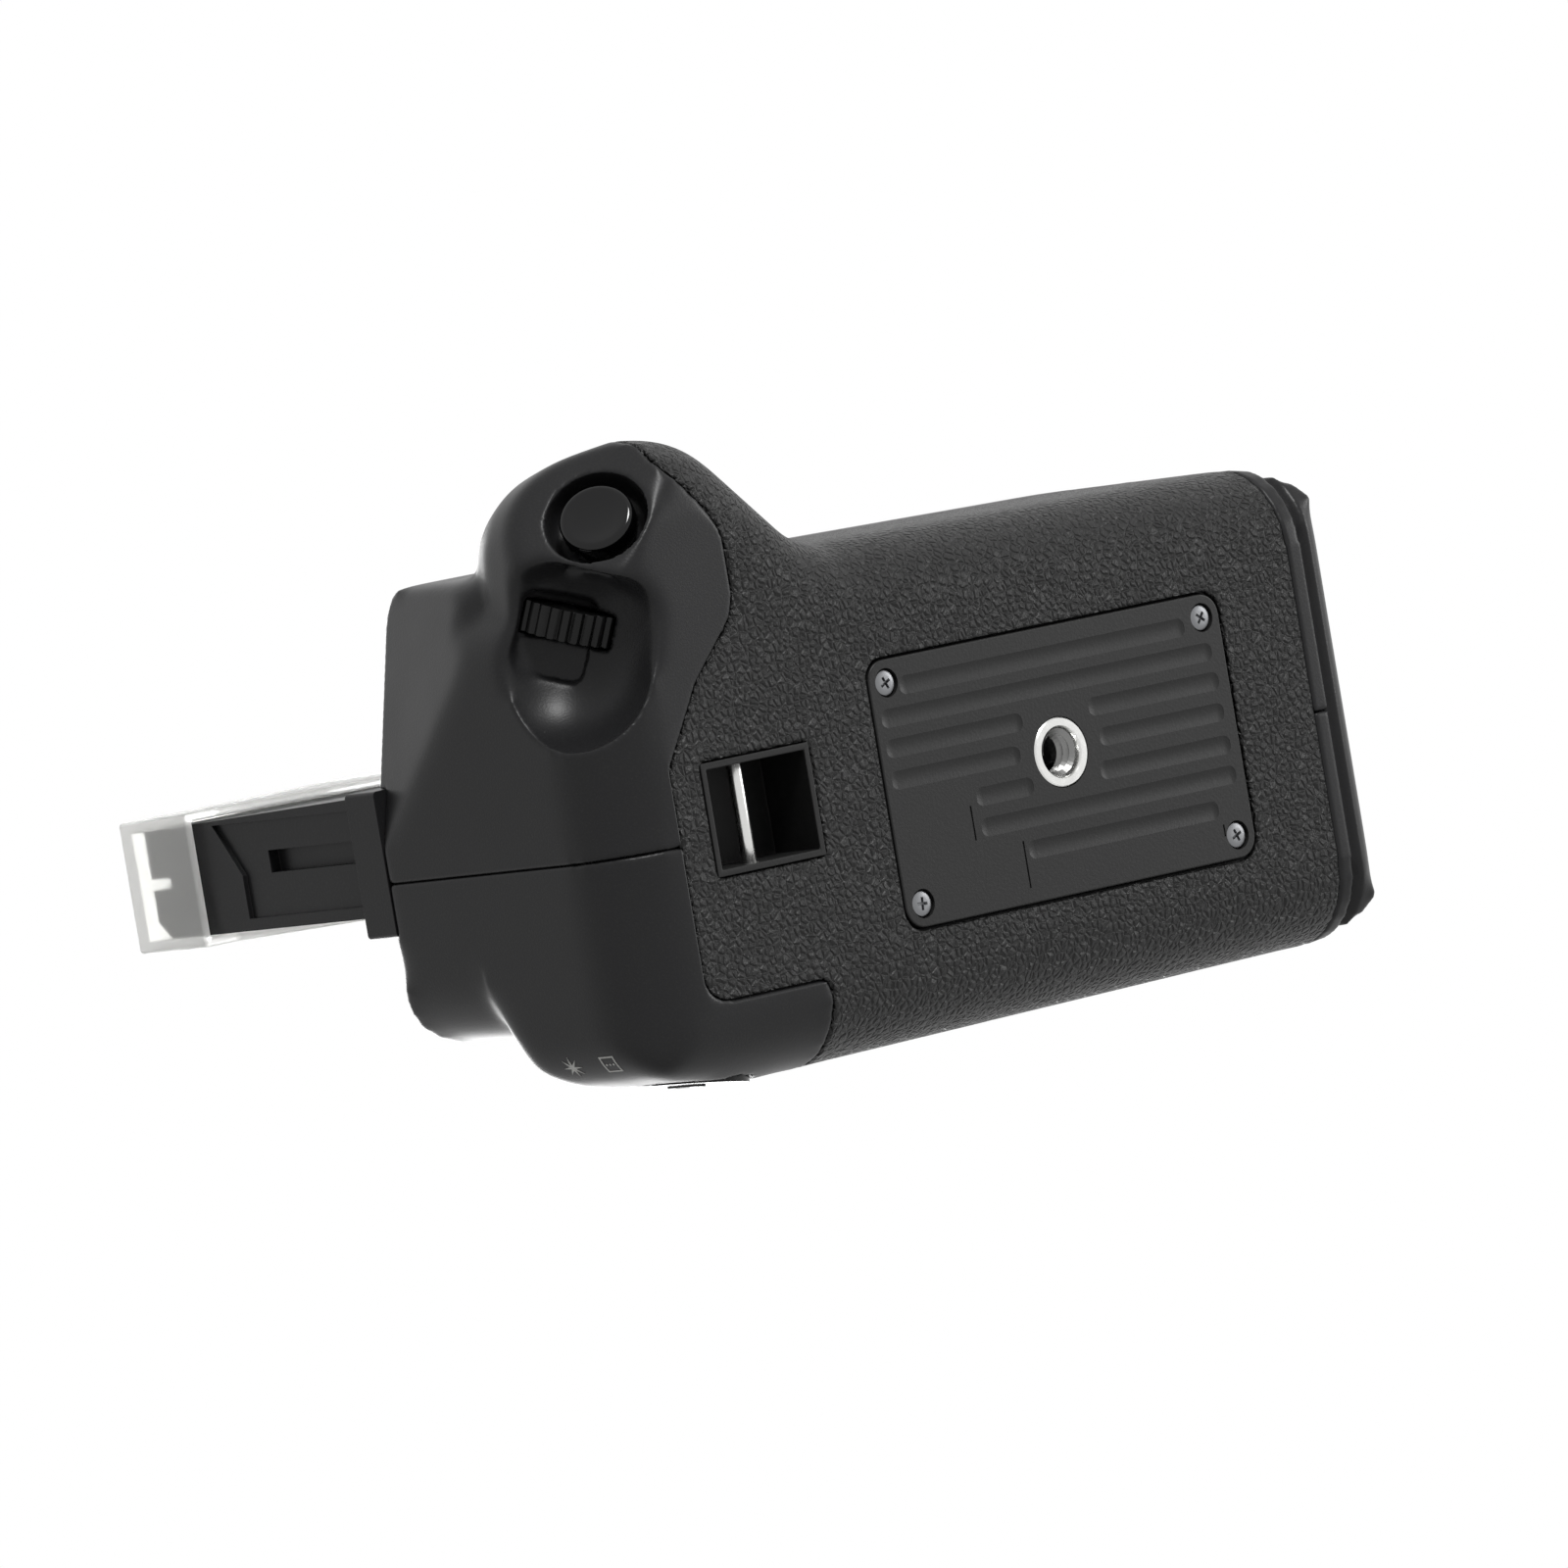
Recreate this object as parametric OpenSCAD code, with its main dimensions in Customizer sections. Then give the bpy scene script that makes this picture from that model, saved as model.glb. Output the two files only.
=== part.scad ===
// Vertical battery grip for a single-lens reflex camera.
// The origin is the tripod socket on the bottom face.
// +X runs to the shutter end, +Y to the front and +Z to the camera.

/* [Housing] */
// Distance from the tripod socket to the shutter end face
end_x = 77.8; // [76:0.2:84]
// Distance from the tripod socket to the magazine end of the shells
tail_x = 48; // [47:0.5:52]
// Height of the camera seat above the bottom face
seat_z = 50; // [49:0.5:54]
// Front wall distance from the socket
front_y = 32.7; // [31.7:0.5:36]
// Rear wall distance from the socket, lower half
rear_y = 33.6; // [33:0.2:36]
// Rear wall distance from the socket, upper half
upper_rear_y = 24; // [23:0.5:26]
// Height where the rear flare starts
flare_low_z = 18; // [17:0.5:20]
// Height where the rear flare ends
flare_high_z = 33; // [32:0.5:36]
// Radius of the long bottom edges
bottom_r = 11; // [8:0.5:12]
// Radius of the bottom edge at the shutter end
end_r = 10.5; // [8:0.5:12]
// Outward taper of the front wall in degrees
front_taper = 1; // [0:0.1:2]
// Place of the parting line between the shells
parting_y = -1.9; // [-4:0.1:0]
// Radius of the upright corners of the upper body
upper_corner_r = 11; // [8:0.5:13]
// Radius of the upright corners at the magazine end
tail_corner_r = 10; // [8:0.5:12]

/* [Nose] */
// Reach of the finger nose in front of the socket
nose_y = 51.2; // [49:0.2:54]
// Height where the nose joins the upper body
nose_top_z = 35; // [33:0.5:37]
// Reach of the upper body above the nose
shoulder_y = 36.3; // [35.5:0.1:38]

/* [Rubber] */
// Thickness of the grip rubber
rubber_t = 1.2; // [1:0.1:1.6]
// Where the rubber ends near the magazine cover
rubber_tail_x = 45.5; // [44:0.5:46]
// How high the rubber climbs the front wall
rubber_front_z = 40; // [36:0.5:43]
// How high the rubber climbs the rear wall
rubber_rear_z = 16; // [13:0.5:16.5]

/* [Tripod plate] */
// Length of the plate
plate_l = 62.6; // [58:0.2:66]
// Width of the plate
plate_w = 35.6; // [33:0.2:38]
// Thickness of the plate
plate_t = 1.6; // [1.4:0.1:1.8]
// Offset of the plate centre from the socket, along Y
plate_off_y = -1.05; // [-2:0.05:0]
// Gap round the plate
plate_gap = 0.35; // [0.2:0.05:0.5]
// Distance of the screws from the plate's edges
plate_screw_inset = 3.1; // [2.6:0.1:4]
// Radius of the plate screw heads
plate_head_r = 1.7; // [1.4:0.1:2]
// Radius of the socket thread, a quarter inch across
thread_r = 3.175; // [3:0.005:3.3]
// Radius of the socket flange
socket_flange_r = 4.65; // [4.4:0.05:5]

/* [Strap window] */
// Length of the window
window_l = 18.8; // [17:0.2:20]
// Width of the window
window_w = 15; // [13:0.2:16]
// Depth of the window
window_d = 10; // [9:0.5:12]
// Centre of the window along X
window_x = 52.5; // [51:0.1:53]
// Centre of the window along Y
window_y = 0.7; // [0:0.1:1.5]
// Wall of the window liner
window_wall = 0.9; // [0.8:0.1:1.2]
// Radius of the strap bar
bar_r = 1; // [0.8:0.1:1.2]

/* [Shutter pod] */
// Slope of the dial scoop below the level, in degrees
pod_down = 33; // [30:1:36]
// Turn of the dial axis within the scoop, in degrees
pod_turn = 22; // [18:1:26]
// Radius of the finger scoop
scoop_r = 12; // [11.5:0.1:12.5]
// Radius of the shutter button
button_r = 5; // [4.5:0.1:5.4]
// Radius of the well round the button
button_well_r = 6.85; // [6.6:0.05:7.2]
// Travel of the shutter button
button_travel = 1; // [0.6:0.1:1.2]
// Radius of the control dial
dial_r = 8; // [7.5:0.1:8.4]
// Width of the control dial
dial_w = 4.2; // [3.8:0.1:4.6]
// Number of grooves in the control dial
dial_grooves = 30; // [20:1:40]

/* [Rear controls] */
// Radius of the rear buttons
rear_button_r = 2.8; // [2.4:0.1:3]
// Travel of the rear buttons
rear_button_travel = 0.8; // [0.5:0.1:1]
// Radius of the power switch
power_r = 6.5; // [6:0.1:7]

/* [Battery magazine] */
// Length of a battery pack
pack_l = 51.5; // [50:0.5:52]
// Width of a battery pack
pack_w = 37.1; // [36:0.1:38]
// Thickness of a battery pack
pack_t = 15.4; // [15:0.1:15.6]
// Wall of the magazine frame
tray_wall = 1.6; // [1.4:0.1:1.8]
// Floor of the battery chamber above the bottom face
chamber_z = 6.4; // [6.4:0.1:6.8]
// Thickness of the magazine end cover
cover_t = 6; // [5.6:0.2:7]
// Radius of the cover's rim
cover_r = 5; // [4:0.5:5.5]
// Radius of the latch knob
knob_r = 9; // [8:0.2:10]

/* [Camera mount] */
// How far the camera screw stands above the seat
screw_reach = 5; // [4:0.5:6]
// Teeth of the thumb wheel's gear
wheel_teeth = 18; // [18:1:18]
// Teeth of the camera screw's gear
screw_teeth = 15; // [15:1:15]
// Tooth module of both gears
gear_module = 1; // [1:0.01:1.04]
// Radius of the knurled thumb wheel
wheel_r = 11.5; // [11.2:0.1:12]
// How far the wheel shows behind the rear wall
wheel_show = 1.2; // [0.8:0.1:1.6]
// Thickness of the seat plate
seat_t = 2; // [1.8:0.1:2.4]

/* [Tongue] */
// End face of the tongue
tongue_x = 74; // [72:0.5:75]
// Width of the tongue
tongue_w = 36; // [34:0.5:37]
// Tip of the tongue above the bottom face
tongue_tip_z = 101.8; // [98:0.2:106]
// Front face of the tongue at its tip
tongue_front_y = 8.3; // [8:0.1:9]
// Rear face of the tongue
tongue_rear_y = 6.4; // [6:0.1:7]
// Height of the raised collar round the tongue
collar_h = 4; // [3:0.2:5]
// Wall of the tongue cap
cap_wall = 1.2; // [1:0.1:1.5]
// Room between the cap and the tongue
cap_gap = 0.3; // [0.2:0.05:0.4]
// Height of the cap above the tongue's tip
cap_head = 3.8; // [3:0.2:6]

/* [Hidden] */
$fn = 48;
eps = 0.01;
far = 200;
slip = 0.3;
run = 0.05;
arc_steps = 6;
nose_r = 15;
lean_tilt = 75;
lean_swing = 15;
lean_depth = 3.4;
shelf_y = -18;
shelf_z = flare_high_z - 1.5;
shelf_tilt = 52;
shelf_swing = 32;
rear_run = 24;
rear_draw = 3.5;
rear_bulge = 0.7;
nose_edge_r = 10;
shoulder_z = 28;
rear_taper = 0.73;
front_taper_base = 0.9;
plate_x = -0.2;
plate_face_z = 0.1;
plate_corner_r = 3;
socket_z = 5.2;
socket_wall = 1.05;
flange_t = 0.8;
plate_shaft_r = 0.9;
plate_head_z = 0.3;
plate_head_t = 0.8;
plate_shaft_z = 5;
groove_pitch = 4.1;
groove_side = 3;
groove_w = 0.7;
groove_d = 0.25;
groove_end = 6.2;
groove_socket_r = 7.5;
label_x = 6;
label_y = -5;
pod_at = [72.2, 26, 8.65];
scoop_lift = 6.1;
scoop_mid = -1.5;
scoop_wall = 10.2;
scoop_edge_r = 5;
scoop_x = 0.5;
dial_at = [-4.2, 1.85, -10.1];
dial_side = 0.3;
dial_room = 0.4;
dial_shaft_r = 1;
knurl_s = 0.7;
dial_shaft_l = dial_w + 6;
encoder_t = 2;
encoder_s = 6;
relief_d = 0.8;
relief_l = 9;
relief_low = 5.5;
relief_high = 1.6;
relief_r = 1.5;
button_at = [66.9, 42.1, 6.5];
button_lean = 120.7;
button_swing = 42.4;
button_well = 4.3;
button_proud = 0.2;
button_h = 3.2;
stem_r = 2.5;
stem_l = 8.2;
switch_s = 6;
switch_h = 3;
flare_angle = atan2(flare_high_z - flare_low_z, rear_y - upper_rear_y);
flare_mid = [-(rear_y + upper_rear_y)/2, (flare_low_z + flare_high_z)/2];
rear_button_x = [49, 57.5, 66];
rear_button_depth = 6;
rear_button_proud = 0.9;
rear_switch_h = 1.6;
power_at = [60, 13];
power_recess = 1.4;
power_proud = 0.2;
power_rib = 2;
power_rib_h = 0.3;
power_stem_r = 2;
power_stem_l = 6;
tray_w = pack_w + 2*(tray_wall + slip/2);
web_t = 1.5;
bay_h = pack_t + 1.5;
tray_h = 2*bay_h + web_t;
tray_z = chamber_z + slip;
bulkhead = 4;
tray_in_x = -tail_x + bulkhead + pack_l + slip + tray_wall;
chamber_x = tray_in_x + 8;
chamber_w = tray_w + 2*slip;
chamber_top = tray_z + tray_h + slip;
contact_t = 0.4;
board_t = 1.6;
latch_y = 8;
latch_z = tray_z + tray_h/2;
latch_shaft_r = 2.5;
latch_cam_l = tray_w/2 - latch_y + 2.6;
latch_cam_w = 5;
latch_sweep = sqrt(pow(latch_cam_l, 2) - pow(chamber_w/2 - latch_y, 2)) + latch_cam_w/2;
latch_cam_t = 1.6;
knob_t = 2.8;
rim_gap = 1;
rim_step = 1.2;
gear_web = 1.5;
gear_z = chamber_top + gear_web + slip;
gear_t = (seat_z - seat_t - gear_z - 2*slip)/2;
screw_pitch_r = gear_module*screw_teeth/2;
wheel_pitch_r = gear_module*wheel_teeth/2;
wheel_y = wheel_r - wheel_show - upper_rear_y;
wheel_x = -sqrt(pow(screw_pitch_r + wheel_pitch_r, 2) - wheel_y*wheel_y);
mesh_angle = atan2(-wheel_y, -wheel_x);
screw_relief = 0.3;
screw_tip = 0.8;
pivot_r = 2;
wheel_pin_r = 1.5;
seat_margin = 3;
collar_l = tongue_w + 7.8;
tongue_taper = 1.6;
collar_front_wall = 0.6;
collar_front_y = tongue_front_y + tongue_taper + collar_front_wall;
collar_rear_y = 8.9;
contact_count = 5;
contact_pitch = 4;
seat_low = [-tail_x + seat_margin, -upper_rear_y + seat_margin];
seat_high = [end_x - collar_l - slip, front_y - seat_margin - 2];
seat_corner_r = 4;
seat_screw_inset = 4;
seat_screw_l = 7;
seat_screw_at = [for (x = [seat_low[0] + seat_screw_inset, seat_high[0] - seat_screw_inset],
  y = [seat_low[1] + seat_screw_inset, seat_high[1] - seat_screw_inset]) [x, y]];
pin_inset = [11, 8];
pin_at = [[seat_low[0] + pin_inset[0], 10], [seat_high[0] - pin_inset[0], seat_low[1] + pin_inset[1]]];
locating_pin_r = 1.5;
front_section = [[-8, 0, 0], [front_y, 0, bottom_r], [front_y, seat_z, 3], [-8, seat_z, 0]];
rear_section = [[8, 0, 0], [8, seat_z, 0], [-upper_rear_y, seat_z, 3], [-upper_rear_y, flare_high_z, 6],
  [-rear_y, flare_low_z, 8], [-rear_y, 0, bottom_r]];
shoulder_section = [[10, shoulder_z, 0], [shoulder_y, shoulder_z, 0], [shoulder_y, seat_z, 5],
  [10, seat_z, 0]];
side_profile = [[-tail_x - cover_t, 0, cover_r], [end_x, 0, end_r], [end_x, seat_z, 3],
  [-tail_x - cover_t, seat_z, cover_r]];
rear_turn = atan2(rear_draw, rear_run);
plan = [[-tail_x - cover_t, -rear_y + 0.6, tail_corner_r], [end_x - rear_run, -rear_y - rear_bulge, 20],
  [end_x, -rear_y - rear_bulge + rear_draw, 8], [end_x, front_y + 1.5, 10],
  [-tail_x - cover_t, front_y - front_taper_base, tail_corner_r]];
upper_plan = [[-tail_x - cover_t, -rear_y, tail_corner_r], [40, -rear_y, 0], [40, -upper_rear_y - 0.6, 0],
  [end_x, -upper_rear_y - 0.6, upper_corner_r], [end_x, shoulder_y, 7], [44, shoulder_y, 6],
  [36, front_y + 0.8, 0], [-tail_x - cover_t, front_y - front_taper_base, tail_corner_r]];

// Unit vector of v.
function unit(v) = v/norm(v);

// Left-hand normal of a plane vector.
function left(v) = [-v[1], v[0]];

// Points of the round that replaces corner b between a and c.
function corner(a, b, c, r) =
  let (u = unit(a - b), v = unit(c - b), half = acos(u*v)/2, t = r/tan(half),
       mid = b + unit(u + v)*r/sin(half), p = b + u*t - mid, q = b + v*t - mid, turn = 180 - 2*half)
  [for (i = [0:arc_steps]) let (s = i/arc_steps)
    mid + (p*sin((1 - s)*turn) + q*sin(s*turn))/sin(turn)];

// Outline through [x, y, r] points, each rounded by its own r.
function rounded(pts) = let (n = len(pts)) [for (i = [0:n - 1])
  let (a = pts[(i + n - 1) % n], b = pts[i], c = pts[(i + 1) % n])
  each b[2] > 0.05 ? corner([a[0], a[1]], [b[0], b[1]], [c[0], c[1]], b[2]) : [[b[0], b[1]]]];

// The same counter-clockwise outline moved in by t, with its radii changed to match.
function inset(pts, t) = let (n = len(pts)) [for (i = [0:n - 1])
  let (a = pts[(i + n - 1) % n], b = pts[i], c = pts[(i + 1) % n],
       d = unit([b[0] - a[0], b[1] - a[1]]), e = unit([c[0] - b[0], c[1] - b[1]]),
       m = (left(d) + left(e))/(1 + left(d)*left(e)), convex = d[0]*e[1] - d[1]*e[0] > 0)
  [b[0] + t*m[0], b[1] + t*m[1], b[2] > 0 ? (convex ? max(b[2] - t, 0) : b[2] + t) : 0]];

// A YZ outline pushed along X.
module along_x(pts, x0, x1) {
  translate([x0, 0, 0]) rotate([90, 0, 90]) linear_extrude(x1 - x0) polygon(pts);
}

// An XZ outline pushed along Y.
module along_y(pts, y0, y1) {
  translate([0, y1, 0]) rotate([90, 0, 0]) linear_extrude(y1 - y0) polygon(pts);
}

module along_z(pts, z0, z1) {
  translate([0, 0, z0]) linear_extrude(z1 - z0) polygon(pts);
}

module box(low, high) {
  translate(low) cube(high - low);
}

// Frame of the dial scoop: Y is the dial's axis and Z points out of the scoop.
module in_pod() {
  translate(pod_at) rotate([0, 90 + pod_down, 0]) rotate([0, 0, -pod_turn]) children();
}

// Frame of the shutter button, with Z pointing out of its facet.
module at_button() {
  translate(button_at) rotate([0, button_lean, button_swing]) children();
}

// Frame of a rear button on the flare, with Z pointing out of the housing.
module at_rear_button(x) {
  translate([x, flare_mid[0], flare_mid[1]]) rotate([flare_angle, 0, 0]) children();
}

// Frame of the power switch, with Z pointing out of the rear wall.
module at_power() {
  wall_y = -rear_y - rear_bulge + (power_at[0] - end_x + rear_run)*tan(rear_turn);
  translate([power_at[0], wall_y, power_at[1]]) rotate([90, 0, rear_turn]) children();
}

// One half of the block: a YZ section run along X at its taper, cut by the lower and upper plans.
module half_block(section, taper, split_z, t) {
  intersection() {
    rotate([0, 0, taper]) along_x(rounded(inset(section, t)), -far/2, far/2);
    union() {
      difference() {
        along_z(rounded(inset(plan, t)), -1, split_z);
        translate([end_x, shelf_y, shelf_z]) rotate([0, shelf_tilt, -shelf_swing])
          translate([-far/2, -far/2, -t]) cube([far, far, far]);
      }
      along_z(rounded(inset(upper_plan, t)), split_z - eps, seat_z + 1);
    }
  }
}

// Domed bulb of the finger nose, moved in by t.
module nose_bulb(t) {
  rotate_extrude($fn = 32) polygon(concat([[0, nose_top_z - t], [0, t]],
    [for (i = [0:4]) let (a = i*90/4)
      [nose_r - nose_edge_r + (nose_edge_r - t)*sin(a), nose_edge_r - (nose_edge_r - t)*cos(a)]],
    [[nose_r - 1.1 - t, 0.44*nose_top_z], [nose_r - 2.8 - t, 0.63*nose_top_z],
     [nose_r - 5.3 - t, 0.76*nose_top_z], [nose_r - 11 - t, 0.93*nose_top_z - t/2]]));
}

// The finger nose: bulbs run together, two in front and two inside the block, and a pair that eases its root.
module nose(t) {
  hull() for (p = [[57.5, nose_y - nose_r], [62, nose_y - nose_r], [38, 17], [62, 17]])
    translate(p) nose_bulb(t);
  hull() for (p = [[27.3, 16], [49.5, 25]]) translate(p) nose_bulb(t);
}

// The whole outer form, moved in by t.
module form(t) {
  difference() {
    intersection() {
      union() {
        half_block(front_section, front_taper, shoulder_z, t);
        half_block(rear_section, -rear_taper, shelf_z, t);
        intersection() {
          along_x(rounded(inset(shoulder_section, t)), 30, far/2);
          along_z(rounded(inset(upper_plan, t)), shoulder_z - eps, seat_z + 1);
        }
        nose(t);
      }
      along_y(rounded(inset(side_profile, t)), -far/2, far/2);
    }
    at_button() translate([-far/2, -far/2, -t]) cube([far, far, far]);
    translate([end_x, shoulder_y, shoulder_z]) rotate([0, lean_tilt, lean_swing])
      translate([-far/2, -far/2, -t - lean_depth]) cube([far, far, far]);
  }
}

// Plan of the rubber: everything on the magazine side of its seam line.
function rubber_plan() = concat(
  [[-rubber_tail_x, -far/2], [45.7, -far/2]],
  [for (p = rounded([[45.7, -40, 0], [45.7, -22.7, 2], [67.2, -22.7, 4], [67.2, 8, 2.5], [60, 19, 10],
    [51.6, 27, 8], [51.6, 38, 9], [58.7, 47, 4], [58.7, 60, 0]])) p],
  [[58.7, far/2], [-rubber_tail_x, far/2]]);

module rubber_zone() {
  intersection() {
    along_z(rubber_plan(), -1, rubber_front_z);
    union() {
      box([-far/2, parting_y, -1], [far/2, far/2, rubber_front_z]);
      box([-far/2, -far/2, -1], [far/2, parting_y + eps, rubber_rear_z]);
    }
  }
}

// Plan of the tripod plate, grown by g.
module plate_plan(z0, z1, g) {
  x0 = plate_x - plate_l/2 - g;
  y0 = plate_off_y - plate_w/2 - g;
  r = plate_corner_r + g;
  along_z(rounded([[x0, y0, r], [x0 + plate_l + 2*g, y0, r], [x0 + plate_l + 2*g, y0 + plate_w + 2*g, r],
    [x0, y0 + plate_w + 2*g, r]]), z0, z1);
}

module at_plate_screws() {
  for (sx = [-1, 1], sy = [-1, 1])
    translate([plate_x + sx*(plate_l/2 - plate_screw_inset),
      plate_off_y + sy*(plate_w/2 - plate_screw_inset), 0]) children();
}

module window_box(g, z1) {
  box([window_x - window_l/2 - g, window_y - window_w/2 - g, -1],
    [window_x + window_l/2 + g, window_y + window_w/2 + g, z1]);
}

// Finger scoop, grown by g: a round trough with one flat end under the button and one ball end.
module scoop(g) {
  wall = scoop_wall - scoop_mid;
  in_pod() translate([scoop_x, scoop_mid, scoop_lift]) rotate([-90, 0, 0]) rotate_extrude()
    polygon(concat([for (i = [0:12]) (scoop_r + g)*[sin(i*90/12), -cos(i*90/12)]],
      rounded([[scoop_r + g, 0, 0], [scoop_r + g, wall, scoop_edge_r], [0, wall, 0]])));
}

// Shallow hollow in the scoop's floor, round the dial's slot.
module dial_relief() {
  x = dial_at[0] - relief_l/2;
  y0 = dial_at[1] - dial_w/2 - relief_low;
  y1 = dial_at[1] + dial_w/2 + relief_high;
  intersection() {
    scoop(relief_d);
    in_pod() along_z(rounded([[x, y0, relief_r], [x + relief_l, y0, relief_r], [x + relief_l, y1, relief_r],
      [x, y1, relief_r]]), -far/4, far/4);
  }
}

module dial_pocket() {
  dial_relief();
  in_pod() translate(dial_at) {
    rotate([-90, 0, 0]) cylinder(r = dial_r + dial_room, h = dial_w + 2*dial_side, center = true);
    rotate([-90, 0, 0]) cylinder(r = dial_shaft_r, h = dial_shaft_l, center = true);
    translate([-encoder_s/2, -dial_w/2 - dial_side - encoder_t, -encoder_s/2])
      cube([encoder_s, encoder_t + eps, encoder_s]);
  }
}

module button_pocket() {
  at_button() {
    translate([0, 0, -button_well]) cylinder(r = button_well_r, h = far);
    translate([0, 0, -stem_l - button_travel - 1]) cylinder(r = stem_r + run, h = far);
    translate([-switch_s/2, -switch_s/2, -stem_l - button_travel - slip - switch_h])
      cube([switch_s, switch_s, switch_h]);
  }
}

module rear_pockets() {
  for (x = rear_button_x) at_rear_button(x) {
    translate([0, 0, -rear_button_depth]) cylinder(r = rear_button_r + 0.1, h = far/10);
    translate([-2, -2, -rear_button_depth - rear_switch_h]) cube([4, 4, rear_switch_h + eps]);
  }
  at_power() {
    translate([0, 0, -power_recess - slip]) cylinder(r = power_r + slip, h = 10);
    translate([0, 0, -power_recess - power_stem_l - slip]) cylinder(r = power_stem_r + run, h = 10);
  }
}

// Room for the magazine, the board and the latch's bolt.
module chamber() {
  box([-far/2, -chamber_w/2, chamber_z], [chamber_x, chamber_w/2, chamber_top]);
  box([-tail_x - eps, 0, latch_z - latch_cam_w/2 - slip],
    [-tail_x + latch_cam_t + 2*slip, latch_y + latch_cam_l + slip, latch_z + latch_sweep + slip]);
}

// Room for the gears under the seat plate.
module gear_room() {
  z0 = gear_z - slip;
  translate([0, 0, z0]) cylinder(r = screw_pitch_r + gear_module + slip, h = far/10);
  translate([wheel_x, wheel_y, z0]) cylinder(r = wheel_r + slip, h = seat_z - seat_t - z0);
  translate([0, 0, chamber_top]) cylinder(r = pivot_r + run, h = far/10);
  translate([wheel_x, wheel_y, chamber_top]) cylinder(r = wheel_pin_r, h = far/10);
}

// Outline of the seat plate, a margin inside the upper body.
module seat_outline(z0, z1, g) {
  x0 = seat_low[0] - g;
  x1 = seat_high[0] + g;
  y0 = seat_low[1] - g;
  y1 = seat_high[1] + g;
  r = seat_corner_r;
  along_z(rounded([[x0, y0, r], [x1, y0, r], [x1, y1, r], [x0, y1, r]]), z0, z1);
}

module collar_box(g, z0, z1) {
  along_z(rounded([[end_x - collar_l - g, -collar_rear_y - g, 2.5], [end_x + g, -collar_rear_y - g, 0.6],
    [end_x + g, collar_front_y + g, 0.6], [end_x - collar_l - g, collar_front_y + g, 2.5]]), z0, z1);
}

// The moulded housing, before it is split at the parting line.
module housing() {
  difference() {
    union() {
      form(rubber_t);
      difference() {
        form(0);
        rubber_zone();
      }
    }
    box([-far, -far, -far], [-tail_x, far, far]);
    plate_plan(-1, plate_face_z + plate_t, plate_gap);
    at_plate_screws() cylinder(r = plate_shaft_r, h = plate_shaft_z);
    cylinder(r = socket_flange_r - flange_side(), h = socket_z);
    window_box(0, window_d);
    scoop(0);
    dial_pocket();
    button_pocket();
    rear_pockets();
    chamber();
    gear_room();
    seat_outline(seat_z - seat_t, far, 0);
    collar_box(0, seat_z - seat_t, far);
    for (p = seat_screw_at) translate([p[0], p[1], seat_z - 8]) cylinder(r = plate_shaft_r, h = far);
  }
}

function flange_side() = socket_flange_r - thread_r - socket_wall;

module front_shell() {
  color("#2e2e2f") intersection() {
    housing();
    box([-far, parting_y, -far], [far, far, far]);
  }
}

module rear_shell() {
  color("#2e2e2f") intersection() {
    housing();
    box([-far, -far, -far], [far, parting_y, far]);
  }
}

module grip_rubber() {
  color("#232323") difference() {
    intersection() {
      form(0);
      rubber_zone();
    }
    form(rubber_t);
    plate_plan(-1, plate_t + 2, plate_gap);
    window_box(0, window_d);
    scoop(0);
  }
}

module seat_plate() {
  color("#303031") difference() {
    seat_outline(seat_z - seat_t, seat_z, 0);
    translate([0, 0, seat_z - seat_t - 1]) cylinder(r = thread_r + 0.4, h = seat_t + 2);
    translate([wheel_x, wheel_y, seat_z - seat_t - eps]) cylinder(r = wheel_pin_r, h = seat_t/2);
    for (p = pin_at) translate([p[0], p[1], seat_z - seat_t - 1]) cylinder(r = locating_pin_r, h = seat_t + 2);
    for (p = seat_screw_at) translate([p[0], p[1], seat_z - seat_t - 1]) {
      cylinder(r = plate_shaft_r, h = seat_t + 2);
      translate([0, 0, seat_t]) cylinder(r = plate_head_r, h = 2);
    }
  }
}

// Small flat-headed screw with its head's face at z = 0, pointing to -Z.
module small_screw(l) {
  difference() {
    union() {
      translate([0, 0, -plate_head_t]) cylinder(r = plate_head_r, h = plate_head_t);
      translate([0, 0, -l]) cylinder(r = plate_shaft_r, h = l - plate_head_t + eps);
    }
    for (a = [0, 90]) rotate([0, 0, a]) translate([-1, -0.22, -0.5]) cube([2, 0.44, 1]);
  }
}

module seat_screws() {
  color("#8f9194") for (p = seat_screw_at)
    translate([p[0], p[1], seat_z - seat_t + 1 + plate_head_t]) small_screw(seat_screw_l);
}

module locating_pins() {
  color("#c8c9cb") for (p = pin_at) translate([p[0], p[1], seat_z - seat_t]) {
    cylinder(r = locating_pin_r, h = seat_t + 2);
    translate([0, 0, seat_t + 2]) cylinder(r1 = locating_pin_r, r2 = locating_pin_r - 0.7, h = 1);
  }
}

module tripod_plate() {
  color("#313132") difference() {
    plate_plan(plate_face_z, plate_face_z + plate_t, 0);
    translate([0, 0, -1]) cylinder(r = socket_flange_r, h = flange_t + 1);
    translate([0, 0, -1]) cylinder(r = thread_r + socket_wall, h = plate_t + 3);
    at_plate_screws() {
      translate([0, 0, -1]) cylinder(r = plate_head_r, h = 1 + plate_head_z + plate_head_t);
      cylinder(r = plate_shaft_r, h = plate_t + 1);
    }
    plate_grooves();
  }
}

// Ends of the groove at y: whole, stopped at the bare label corner, or broken at the socket.
function groove_runs(y) =
  let (x0 = plate_x - plate_l/2 + groove_end, x1 = y < label_y ? label_x : plate_x + plate_l/2 - groove_end,
       reach = sqrt(max(groove_socket_r*groove_socket_r - y*y, 0)))
  reach > 0 ? [[x0, -reach], [reach, x1]] : [[x0, x1]];

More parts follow.
